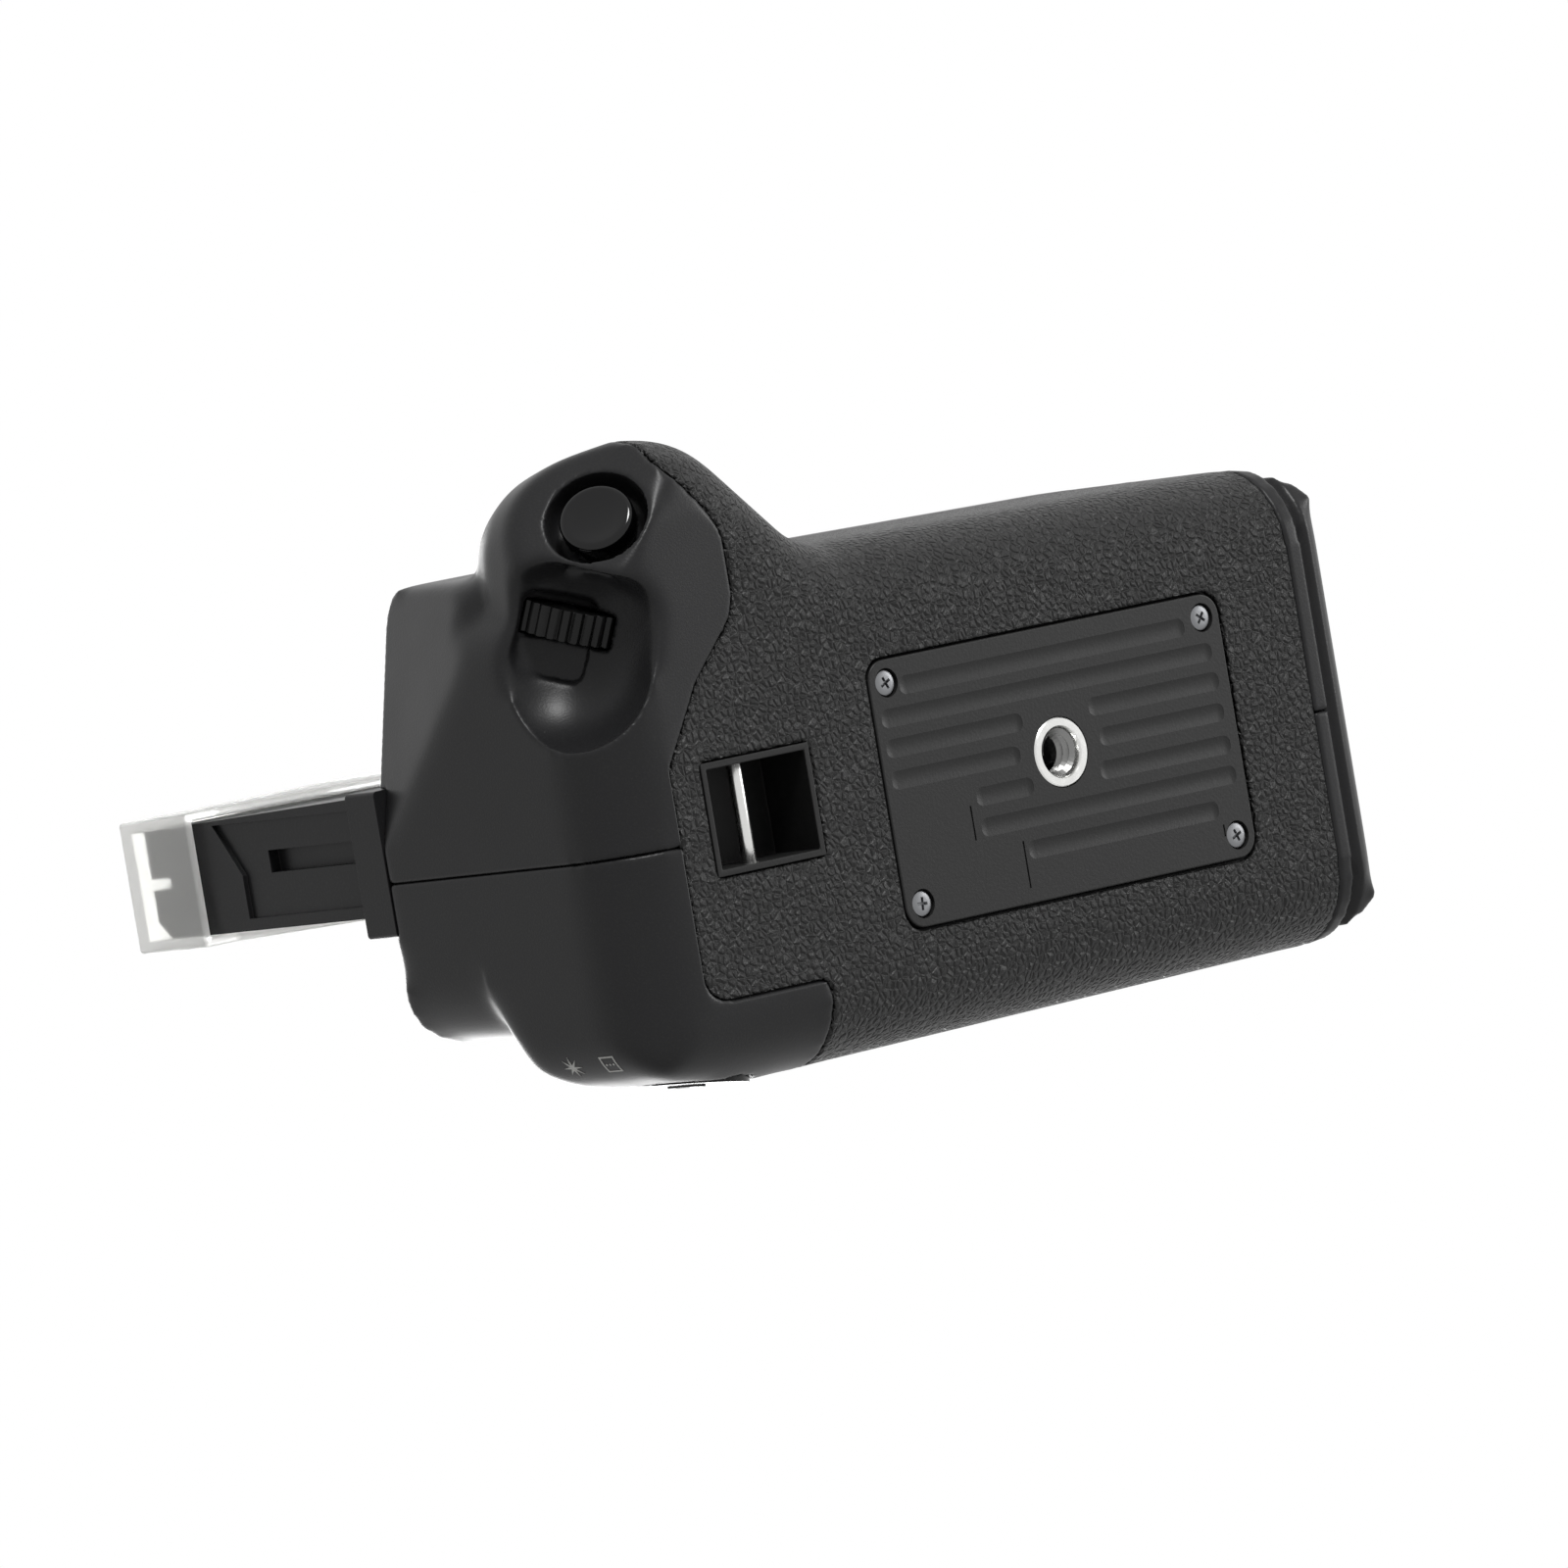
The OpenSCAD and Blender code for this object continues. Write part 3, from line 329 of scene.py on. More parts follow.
@dataclass(frozen=True)
class PrintedInk(Finish):
    """Pad-printed white ink: flat, a little thin where the pad lifted."""

    spot_mm: float = 0.3

    def dress(self, tree: bpy.types.NodeTree, shader: bpy.types.Node, place: bpy.types.NodeSocket) -> None:
        """Thins the ink in small spots."""
        thin = add_node(tree, "ShaderNodeTexNoise",
                        {"Vector": place, "Scale": 1 / (self.spot_mm * MM), "Detail": 2.0})
        self.tint(tree, shader, thin.outputs["Fac"], "#b9b9b6")


SHELL_ABS = MouldedPlastic("moulded_abs_shell", "#1d1d1e", 0.38)
COVER_ABS = MouldedPlastic("moulded_abs_cover", "#1e1e1f", 0.34, grain_mm=0.28)
PLATE_ABS = MouldedPlastic("moulded_abs_tripod_plate", "#202020", 0.44, grain_mm=0.4, depth_mm=0.025)
TRIM_ABS = MouldedPlastic("moulded_abs_trim", "#191919", 0.42, rubbed="#222222")
DIAL_ABS = MouldedPlastic("moulded_abs_dial", "#101010", 0.3, depth_mm=0.01, rubbed="#1a1a1a")
SATIN_ABS = MouldedPlastic("moulded_abs_satin_button", "#0d0d0e", 0.26, depth_mm=0.006, rubbed="#161616")
TONGUE_ABS = MouldedPlastic("moulded_abs_tongue", "#1c1c1d", 0.36, grain_mm=0.4, depth_mm=0.012)
TRAY_ABS = MouldedPlastic("moulded_abs_tray", "#242425", 0.5, rubbed="#303030")
PACK_PC = MouldedPlastic("moulded_polycarbonate_pack", "#3a3b3e", 0.42, rubbed="#4a4b4e")
SWITCH_NYLON = MouldedPlastic("moulded_nylon_switch", "#3b3b3b", 0.55, rubbed="#4b4b4b")
RUBBER = LeatherGrainRubber("leather_grain_rubber", "#1c1c1c", 0.4)
BUTTON_GLOSS = PolishedPlastic("polished_abs_button", "#050506", 0.08)
NICKEL = PlatedMetal("turned_nickel_plate", "#d4d4d2", 0.24)
ZINC = PlatedMetal("black_zinc_plated_steel", "#77787a", 0.42)
THREAD = PlatedMetal("cut_brass_thread_nickel_flash", "#7c7c7b", 0.3)
GOLD = PlatedMetal("gold_plated_contact", "#d9b25a", 0.28)
FROSTED = FrostedPolythene("frosted_polythene_cap", "#eeeeec", 0.42)
BOARD = BoardLaminate("solder_mask_board", "#163f29", 0.45)
INK = PrintedInk("pad_printed_ink", "#e6e6e2", 0.6)


# Zones, in millimetres, where the moulding blends one face into the next, and places in them that stay crisp.
NOSE_BLENDS = (((44, 20, -1), (80, 53, 47)),)
NOSE_KEEPS = (((66.9, 42.1, 6.5), 7.3), ((65.5, 29.3, 16.8), 9.3))
NOSE_FILLETS = (((71.8, 32.2, 27.0), 3.6),)
REAR_BLENDS = (((30, -40, -1), (80, -16, 48)),)
REAR_KEEPS = (((49, -28.8, 25.5), 6.0), ((57.5, -28.8, 25.5), 6.0), ((66, -28.8, 25.5), 6.0),
              ((60, -33.4, 13), 8.0))


def only(obj: bpy.types.Object) -> None:
    """Selects one object, alone, and makes it active."""
    bpy.ops.object.select_all(action="DESELECT")
    obj.select_set(True)
    bpy.context.view_layer.objects.active = obj


@contextmanager
def editing(obj: bpy.types.Object, mode: str = "VERT", everything: bool = True) -> Iterator[None]:
    """Opens an object in edit mode for the block.

    Args:
        obj: Object to edit.
        mode: Selection mode: VERT, EDGE or FACE.
        everything: Whether all of it is selected first; otherwise the flags set in code stay.

    Yields:
        Nothing.
    """
    only(obj)
    bpy.ops.object.mode_set(mode="EDIT")
    bpy.ops.mesh.select_mode(type=mode)
    if everything:
        bpy.ops.mesh.select_all(action="SELECT")
    yield
    bpy.ops.object.mode_set(mode="OBJECT")


def apply_modifier(obj: bpy.types.Object, kind: str, **settings: Any) -> None:
    """Adds a modifier and applies it.

    Args:
        obj: Object that gets it.
        kind: Modifier type.
        settings: Attributes of the modifier.
    """
    only(obj)
    modifier = obj.modifiers.new(kind, kind)
    for name, value in settings.items():
        setattr(modifier, name, value)
    bpy.ops.object.modifier_apply(modifier=modifier.name)


def place(obj: bpy.types.Object, matrix: Matrix) -> None:
    """Moves an object by a matrix and applies it, so that its place is in its mesh."""
    only(obj)
    obj.matrix_world = matrix
    bpy.ops.object.transform_apply(location=True, rotation=True, scale=True)


def join(objects: Sequence[bpy.types.Object], piece: str) -> bpy.types.Object:
    """Joins objects into the first one.

    Args:
        objects: Objects to join.
        piece: Name of the result.

    Returns:
        The joined object.
    """
    only(objects[0])
    for obj in objects[1:]:
        obj.select_set(True)
    bpy.ops.object.join()
    objects[0].name = objects[0].data.name = piece
    return objects[0]


def copy_node(node: str, piece: str) -> bpy.types.Object:
    """Copies a CAD node's mesh into a new object and merges its loose triangles.

    Args:
        node: CAD node.
        piece: Name of the new piece.

    Returns:
        The new object.
    """
    obj = bpy.data.objects.new(piece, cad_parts[node].data.copy())
    obj.data.name = piece
    obj.data.materials.clear()
    bpy.context.scene.collection.objects.link(obj)
    only(obj)
    bpy.ops.mesh.customdata_custom_splitnormals_clear()
    with editing(obj):
        bpy.ops.mesh.remove_doubles(threshold=0.002 * MM)
    return obj


def dressed_copy(node: str, piece: str, bevel_mm: float = 0.15, segments: int = 2) -> bpy.types.Object:
    """Copies a CAD node and gives its edges the small radius of a moulded or machined piece.

    Args:
        node: CAD node.
        piece: Name of the new piece.
        bevel_mm: Width of the bevel.
        segments: Steps across it.

    Returns:
        The new object.
    """
    obj = copy_node(node, piece)
    with editing(obj):
        bpy.ops.mesh.dissolve_limited(angle_limit=math.radians(0.5))
    apply_modifier(obj, "BEVEL", width=bevel_mm * MM, segments=segments, limit_method="ANGLE",
                   angle_limit=math.radians(32))
    only(obj)
    bpy.ops.object.shade_smooth_by_angle(angle=math.radians(33))
    apply_modifier(obj, "WEIGHTED_NORMAL", keep_sharp=True)
    return obj


def turned(piece: str, profile: Sequence[tuple[float, float]], steps: int) -> bpy.types.Object:
    """Turns a profile about the local Z axis.

    Args:
        piece: Name of the new piece.
        profile: Radius and height in millimetres, from one end of the axis to the other.
        steps: Steps in a turn.

    Returns:
        The new object.
    """
    mesh = bpy.data.meshes.new(piece)
    mesh.from_pydata([(r * MM, 0.0, z * MM) for r, z in profile],
                     [(i, i + 1) for i in range(len(profile) - 1)], [])
    obj = bpy.data.objects.new(piece, mesh)
    bpy.context.scene.collection.objects.link(obj)
    with editing(obj):
        bpy.ops.mesh.spin(steps=steps, angle=math.tau, center=(0, 0, 0), axis=(0, 0, 1))
        bpy.ops.mesh.select_all(action="SELECT")
        bpy.ops.mesh.remove_doubles(threshold=0.005 * MM)
        bpy.ops.mesh.normals_make_consistent(inside=False)
    only(obj)
    bpy.ops.object.shade_smooth_by_angle(angle=math.radians(38))
    return obj


def helix(piece: str, tip: float, root: float, half: float, pitch: float, turns: int,
          z: float) -> bpy.types.Object:
    """Winds a closed three-cornered ridge about the Z axis.

    Args:
        piece: Name of the new piece.
        tip: Radius of the ridge's tip, in millimetres.
        root: Radius of its foot.
        half: Half the height of its foot.
        pitch: Rise in a turn.
        turns: Number of turns.
        z: Height of its start.

    Returns:
        The new object.
    """
    mesh = bpy.data.meshes.new(piece)
    corners = [(root, z - half), (tip, z), (root, z + half)]
    mesh.from_pydata([(r * MM, 0.0, h * MM) for r, h in corners], [(0, 1), (1, 2), (2, 0)], [])
    obj = bpy.data.objects.new(piece, mesh)
    bpy.context.scene.collection.objects.link(obj)
    apply_modifier(obj, "SCREW", screw_offset=pitch * MM, iterations=turns, steps=32, render_steps=32,
                   use_smooth_shade=False)
    with editing(obj):
        bpy.ops.mesh.remove_doubles(threshold=0.001 * MM)
        bpy.ops.mesh.fill_holes(sides=3)
        bpy.ops.mesh.normals_make_consistent(inside=False)
    return obj


def unit_cube() -> bpy.types.Object:
    """Adds a cube of one metre, alone in the selection, to be sized by a matrix."""
    bpy.ops.object.select_all(action="DESELECT")
    bpy.ops.mesh.primitive_cube_add(size=1)
    return bpy.context.object


def cut(obj: bpy.types.Object, tool: bpy.types.Object) -> None:
    """Cuts one object by another, which is then deleted."""
    apply_modifier(obj, "BOOLEAN", operation="DIFFERENCE", solver="EXACT", object=tool)
    bpy.data.objects.remove(tool)


def finish_piece(obj: bpy.types.Object, finish: Finish, body: Body, slot: Slot, *nodes: str) -> None:
    """Gives a piece its material and body, and hides the nodes that it stands for.

    Args:
        obj: The piece.
        finish: Its finish.
        body: Body that it rides on.
        slot: Material slot of the record; not used.
        nodes: CAD nodes that it replaces.
    """
    obj.data.materials.clear()
    obj.data.materials.append(finish.material())
    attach(obj, body.value)
    if nodes:
        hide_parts(*nodes)
    LOG.info("%s: %d faces, rides on %s", obj.name, len(obj.data.polygons), body.value)


def nearest(points: Sequence[Vector]) -> KDTree:
    """Makes a search tree of points.

    Args:
        points: The points.

    Returns:
        The balanced tree.
    """
    tree = KDTree(len(points))
    for index, point in enumerate(points):
        tree.insert(point, index)
    tree.balance()
    return tree


@dataclass
class MouldedSkin:
    """A housing part with blended faces: remeshed from its CAD solid and smoothed, its real edges kept."""

    node: str
    finish: Finish
    slot: Slot
    body: Body = Body.HOUSING
    voxel: float = 0.45
    passes: int = 70
    keep_angle: float = 38.0
    faces: int = 90000
    blends: tuple[tuple[Point, Point], ...] = ()
    keeps: tuple[tuple[Point, float], ...] = ()
    neighbour: str = ""
    seam_reach: float = 0.7
    crisp: float = 0.5
    fade: float = 2.5
    least: float = 0.04
    grades: int = 25
    fillets: tuple[tuple[Point, float], ...] = ()

    def blended(self, point: Vector) -> bool:
        """Says whether a point lies in a zone whose edges are blended away, and in none that keeps them."""
        if any((point / MM - Vector(centre)).length < reach for centre, reach in self.keeps):
            return False
        return any(all(low[i] <= point[i] / MM <= high[i] for i in range(3)) for low, high in self.blends)

    def sharp_points(self, obj: bpy.types.Object) -> list[Vector]:
        """Finds points along an object's sharp edges.

        Args:
            obj: A merged copy of a node.

        Returns:
            Points at most a voxel apart.
        """
        with editing(obj, "EDGE", everything=False):
            bpy.ops.mesh.select_all(action="DESELECT")
            bpy.ops.mesh.edges_select_sharp(sharpness=math.radians(self.keep_angle))
        points = []
        for edge in obj.data.edges:
            if edge.select:
                a, b = (obj.data.vertices[i].co for i in edge.vertices)
                count = max(1, round((b - a).length / (self.voxel * MM)))
                points += [a.lerp(b, k / count) for k in range(count + 1)]
        return points

    def real_edges(self, obj: bpy.types.Object) -> list[Vector]:
        """Picks the points of the edges that stay: outside the blends, or along the neighbour's edge.

        Args:
            obj: The merged copy of the node.

        Returns:
            Those points.
        """
        points = self.sharp_points(obj)
        if not self.neighbour:
            return [p for p in points if not self.blended(p)]
        other = copy_node(self.neighbour, "edge_probe")
        seam = nearest(self.sharp_points(other))
        bpy.data.objects.remove(other)
        return [p for p in points if not self.blended(p) or seam.find(p)[2] < self.seam_reach * MM]

    def soften(self, obj: bpy.types.Object, points: Sequence[Vector]) -> None:
        """Weights each vertex by how far it is from the edges that stay.

        Args:
            obj: The remeshed piece.
            points: Points along those edges.
        """
        tree = nearest(points)
        steps: dict[int, list[int]] = {}
        for vertex in obj.data.vertices:
            reach = tree.find(vertex.co)[2] / MM
            share = min(max((reach - self.crisp) / self.fade, self.least), 1.0)
            steps.setdefault(round(share * self.grades), []).append(vertex.index)
        group = obj.vertex_groups.new(name="soft")
        for step, indices in steps.items():
            group.add(indices, step / self.grades, "REPLACE")

    def build(self) -> bpy.types.Object:
        """Makes and dresses the piece.

        Returns:
            The finished piece.
        """
        obj = copy_node(self.node, self.node + "_skin")
        points = self.real_edges(obj)
        for centre, radius in self.fillets:
            bpy.ops.object.select_all(action="DESELECT")
            bpy.ops.mesh.primitive_uv_sphere_add(radius=radius * MM, location=Vector(centre) * MM)
            obj = join([obj, bpy.context.object], obj.name)
        apply_modifier(obj, "REMESH", mode="VOXEL", voxel_size=self.voxel * MM)
        self.soften(obj, points)
        apply_modifier(obj, "SMOOTH", factor=0.5, iterations=self.passes, vertex_group="soft")
        obj.vertex_groups.clear()
        apply_modifier(obj, "DECIMATE", ratio=min(1.0, self.faces / (2 * len(obj.data.polygons))))
        only(obj)
        bpy.ops.object.shade_smooth()
        finish_piece(obj, self.finish, self.body, self.slot, self.node)
        return obj


@dataclass
class CrossHeadScrews:
    """Small cross-head screws, one for each solid of a CAD node."""

    node: str
    head_low: bool
    head_r: float = 1.7
    head_t: float = 0.8
    shaft_r: float = 0.9
    slot_l: float = 2.2
    slot_w: float = 0.5
    slot_d: float = 0.5

    def model(self, length: float) -> bpy.types.Object:
        """Models one screw with its head's face at the origin and its shaft down.

        Args:
            length: Length from the head's face to the tip.

        Returns:
            The screw.
        """
        r, t = self.head_r, self.head_t
        screw = turned("cross_head_screw", [(0, 0), (0.5 * r, -0.01), (0.82 * r, -0.06), (0.96 * r, -0.16),
                                            (r, -0.32), (r, -t), (self.shaft_r, -t),
                                            (self.shaft_r, 0.5 - length), (0.5 * self.shaft_r, -length),
                                            (0, -length)], 40)
        for size in ((self.slot_l, self.slot_w), (self.slot_w, self.slot_l)):
            tool = unit_cube()
            low = [v for v in tool.data.vertices if v.co.z < 0]
            for vertex in low:
                vertex.co.x *= 0.6
                vertex.co.y *= 0.6
            place(tool, Matrix.Diagonal((size[0] * MM, size[1] * MM, 2 * self.slot_d * MM, 1)))
            cut(screw, tool)
        return screw

    def places(self) -> list[tuple[Vector, Vector]]:
        """Finds the box of each solid of the node.

        Returns:
            Lowest and highest corners of each.
        """
        probe = copy_node(self.node, "screw_probe")
        with editing(probe):
            bpy.ops.mesh.separate(type="LOOSE")
        boxes = []
        for part in list(bpy.context.selected_objects):
            spots = [v.co for v in part.data.vertices]
            boxes.append((Vector([min(s[i] for s in spots) for i in range(3)]),
                          Vector([max(s[i] for s in spots) for i in range(3)])))
            bpy.data.objects.remove(part)
        return boxes

    def build(self) -> bpy.types.Object:
        """Models a screw, copies it to each place and joins the copies.

        Returns:
            The finished piece.
        """
        boxes = sorted(self.places(), key=lambda box: (round(box[0].x, 4), round(box[0].y, 4)))
        length = (boxes[0][1].z - boxes[0][0].z) / MM
        screw = self.model(length)
        copies = []
        for low, high in boxes:
            twin = bpy.data.objects.new("screw_copy", screw.data.copy())
            bpy.context.scene.collection.objects.link(twin)
            turn = Matrix.Rotation(math.pi if self.head_low else 0.0, 4, "X")
            spin = Matrix.Rotation(math.radians(23 + 31 * len(copies)), 4, "Z")
            spot = Vector(((low.x + high.x) / 2, (low.y + high.y) / 2, low.z if self.head_low else high.z))
            place(twin, Matrix.Translation(spot) @ turn @ spin)
            copies.append(twin)
        bpy.data.objects.remove(screw)
        obj = join(copies, self.node + "_cross_heads")
        finish_piece(obj, ZINC, Body.HOUSING, Slot.STEEL, self.node)
        return obj


@dataclass
class TripodFittings:
    """The plate under the grip with its screws and threaded socket."""

    bore_r: float = 3.175
    flange_r: float = 4.65
    flange_t: float = 0.8
    sleeve_r: float = 4.225
    length: float = 5.2
    pitch: float = 1.27
    thread_d: float = 0.62
    plate_at: tuple[float, float] = (-0.2, -1.05)
    plate_l: float = 62.6
    plate_w: float = 35.6
    plate_t: float = 1.6
    plate_z: float = 0.1
    corner_r: float = 3.0
    line_w: float = 0.28
    line_d: float = 0.2
    seat_r: float = 1.95
    shaft_r: float = 1.0
    screw_x: tuple[float, ...] = (-28.4, 28.0)
    screw_y: tuple[float, ...] = (-15.75, 13.65)
    flute_r: float = 5.0
    flute_d: float = 0.16
    flutes: tuple[Point, ...] = (
        (12.9, -25.2, 26.0), (9.0, -29.3, 30.0), (5.0, 5.7, 30.0), (5.0, -29.7, -5.9), (0.8, 7.0, 30.0),
        (0.8, -29.7, -7.0), (-3.6, 5.6, 16.0), (-3.6, -29.9, -6.2), (-7.7, -30.0, 16.0), (-11.9, -25.9, 8.5))
    lines: tuple[Point, ...] = ((17.2, -9.1, -4.5), (9.15, -16.8, -10.5), (-26.2, -15.6, -14.0))

    def sink(self, plate: bpy.types.Object, tool: bpy.types.Object, matrix: Matrix) -> None:
        """Places a tool and cuts the plate with it."""
        place(tool, matrix)
        cut(plate, tool)

    def disc(self, radius: float, depth: float, steps: int = 48) -> bpy.types.Object:
        """Adds a disc with which to sink a round seat.

        Args:
            radius: Radius in millimetres.
            depth: Height above and below the origin.
            steps: Sides.

        Returns:
            The disc.
        """
        bpy.ops.object.select_all(action="DESELECT")
        bpy.ops.mesh.primitive_cylinder_add(vertices=steps, radius=radius * MM, depth=2 * depth * MM)
        return bpy.context.object

    def flute(self, run: float) -> bpy.types.Object:
        """Turns the long ball-ended tool that sinks a flute.

        Args:
            run: Length of the flute.

        Returns:
            The tool, along X, with its middle at the origin.
        """
        r, reach = self.flute_r, math.sqrt(2 * self.flute_r * self.flute_d)
        half = run / 2 - reach
        ends = [math.radians(90 - 2.5 * k) for k in range(6)]
        ends += [math.radians(60 - 20 * k) for k in range(1, 4)]
        arc = [(r * math.sin(a), half + r * math.cos(a)) for a in reversed(ends)]
        arc[0] = (0.0, half + r)
        tool = turned("flute_tool", arc + [(x, -z) for x, z in reversed(arc)], 144)
        place(tool, Matrix.Rotation(math.pi / 2, 4, "Y"))
        return tool

    def build_plate(self) -> None:
        """Models the plate: its rounded outline, seats, flutes and the lines round its bare corner."""
        plate = unit_cube()
        plate.name = plate.data.name = "tripod_plate_moulding"
        x, y = self.plate_at
        place(plate, Matrix.Translation((x * MM, y * MM, (self.plate_z + self.plate_t / 2) * MM))
              @ Matrix.Diagonal((self.plate_l * MM, self.plate_w * MM, self.plate_t * MM, 1)))
        plate.data.polygons.foreach_set("select", [False] * len(plate.data.polygons))
        plate.data.vertices.foreach_set("select", [False] * len(plate.data.vertices))
        for edge in plate.data.edges:
            a, b = (plate.data.vertices[i].co for i in edge.vertices)
            edge.select = abs(a.z - b.z) > 0.5 * MM
        with editing(plate, "EDGE", everything=False):
            bpy.ops.mesh.bevel(offset=self.corner_r * MM, segments=8, affect="EDGES")
        apply_modifier(plate, "BEVEL", width=0.22 * MM, segments=3, limit_method="ANGLE",
                       angle_limit=math.radians(50))
        for fy, x0, x1 in self.flutes:
            depth = self.plate_z - self.flute_r + self.flute_d
            self.sink(plate, self.flute(x1 - x0),
                      Matrix.Translation(((x0 + x1) / 2 * MM, fy * MM, depth * MM)))
        for lx, y0, y1 in self.lines:
            self.sink(plate, unit_cube(),
                      Matrix.Translation((lx * MM, (y0 + y1) / 2 * MM, self.plate_z * MM))
                      @ Matrix.Diagonal((self.line_w * MM, (y1 - y0) * MM, 2 * self.line_d * MM, 1)))
        self.sink(plate, self.disc(self.flange_r + 0.1, 4.0, 72), Matrix())
        for sx in self.screw_x:
            for sy in self.screw_y:
                spot = Matrix.Translation((sx * MM, sy * MM, 0))
                self.sink(plate, self.disc(self.seat_r, self.plate_z + 1.0), spot)
                self.sink(plate, self.disc(self.shaft_r, 4.0), spot)
        only(plate)
        bpy.ops.object.shade_smooth_by_angle(angle=math.radians(8))
        apply_modifier(plate, "WEIGHTED_NORMAL", keep_sharp=True)
        finish_piece(plate, PLATE_ABS, Body.HOUSING, Slot.PLATE, "tripod_plate")

    def build_socket(self) -> None:
        """Turns the socket and winds its thread inside the bore."""
        edge = 0.18
        rim = [(self.bore_r, self.length), (self.bore_r, edge + 0.3), (self.bore_r + 0.35, 0.0),
               (self.flange_r - edge, 0.0), (self.flange_r, edge), (self.flange_r, self.flange_t),
               (self.sleeve_r, self.flange_t), (self.sleeve_r, self.length), (self.bore_r, self.length)]
        sleeve = turned("socket_sleeve", rim, 72)
        turns = int((self.length - 1.2) / self.pitch)
        ridge = helix("socket_thread", self.bore_r - self.thread_d, self.bore_r + 0.05, 0.55, self.pitch,
                      turns, 0.75)
        sleeve.name = "tripod_socket_sleeve"
        ridge.name = "tripod_socket_thread"
        finish_piece(sleeve, NICKEL, Body.HOUSING, Slot.BRIGHT, "tripod_socket")
        finish_piece(ridge, THREAD, Body.HOUSING, Slot.BRIGHT)

    def build(self) -> None:
        """Builds the plate, the socket and the screws."""
        self.build_plate()
        self.build_socket()
        CrossHeadScrews("tripod_plate_screws", head_low=True).build()


@dataclass
class ShutterEnd:
    """The shutter button and the finger dial on the front end."""

    at: Point = (66.9, 42.1, 6.5)
    turn: float = 42.4
    tilt: float = 120.7
    r: float = 5.0
    top: float = 0.2
    head: float = 3.2
    stem_r: float = 2.5
    stem_end: float = -8.2

    def build_button(self) -> None:
        """Turns the dished button."""
        r, top = self.r, self.top
        profile = [(0, top - 0.42), (0.35 * r, top - 0.36), (0.62 * r, top - 0.2), (0.78 * r, top - 0.03),
                   (0.84 * r, top), (0.9 * r, top - 0.05), (0.96 * r, top - 0.22), (r, top - 0.6),
                   (r, top - self.head), (self.stem_r, top - self.head), (self.stem_r, self.stem_end),
                   (0, self.stem_end)]
        obj = turned("shutter_button_dished", profile, 72)
        spot = Matrix.Translation(Vector(self.at) * MM)
        place(obj, spot @ Matrix.Rotation(math.radians(self.turn), 4, "Z")
              @ Matrix.Rotation(math.radians(self.tilt), 4, "Y"))
        finish_piece(obj, BUTTON_GLOSS, Body.SHUTTER, Slot.BUTTON_GLOSS, "shutter_button")

    def build(self) -> None:
        """Builds the button and the knurled dial."""
        self.build_button()
        dial = dressed_copy("main_dial", "main_dial_knurled", 0.16)
        finish_piece(dial, DIAL_ABS, Body.DIAL, Slot.DIAL, "main_dial")


@dataclass
class StrapWindow:
    """The window through the end of the grip, its liner and its bar."""

    bar_r: float = 1.0
    x: float = 53.0
    z: float = 4.0
    y0: float = -6.8
    y1: float = 8.2

    def build(self) -> None:
        """Builds the liner and turns the bar, which thins a little at its ends."""
        liner = dressed_copy("strap_window_liner", "strap_window_liner_moulding", 0.2)
        finish_piece(liner, TRIM_ABS, Body.HOUSING, Slot.TRIM, "strap_window_liner")
        r, run = self.bar_r, self.y1 - self.y0
        bar = turned("strap_bar_turned", [(0, 0), (0.86 * r, 0), (0.86 * r, 0.5), (r, 0.8), (r, run - 0.8),
                                          (0.86 * r, run - 0.5), (0.86 * r, run), (0, run)], 32)
        place(bar, Matrix.Translation(Vector((self.x, self.y0, self.z)) * MM)
              @ Matrix.Rotation(-math.pi / 2, 4, "X"))
        finish_piece(bar, NICKEL, Body.HOUSING, Slot.BRIGHT, "strap_bar")


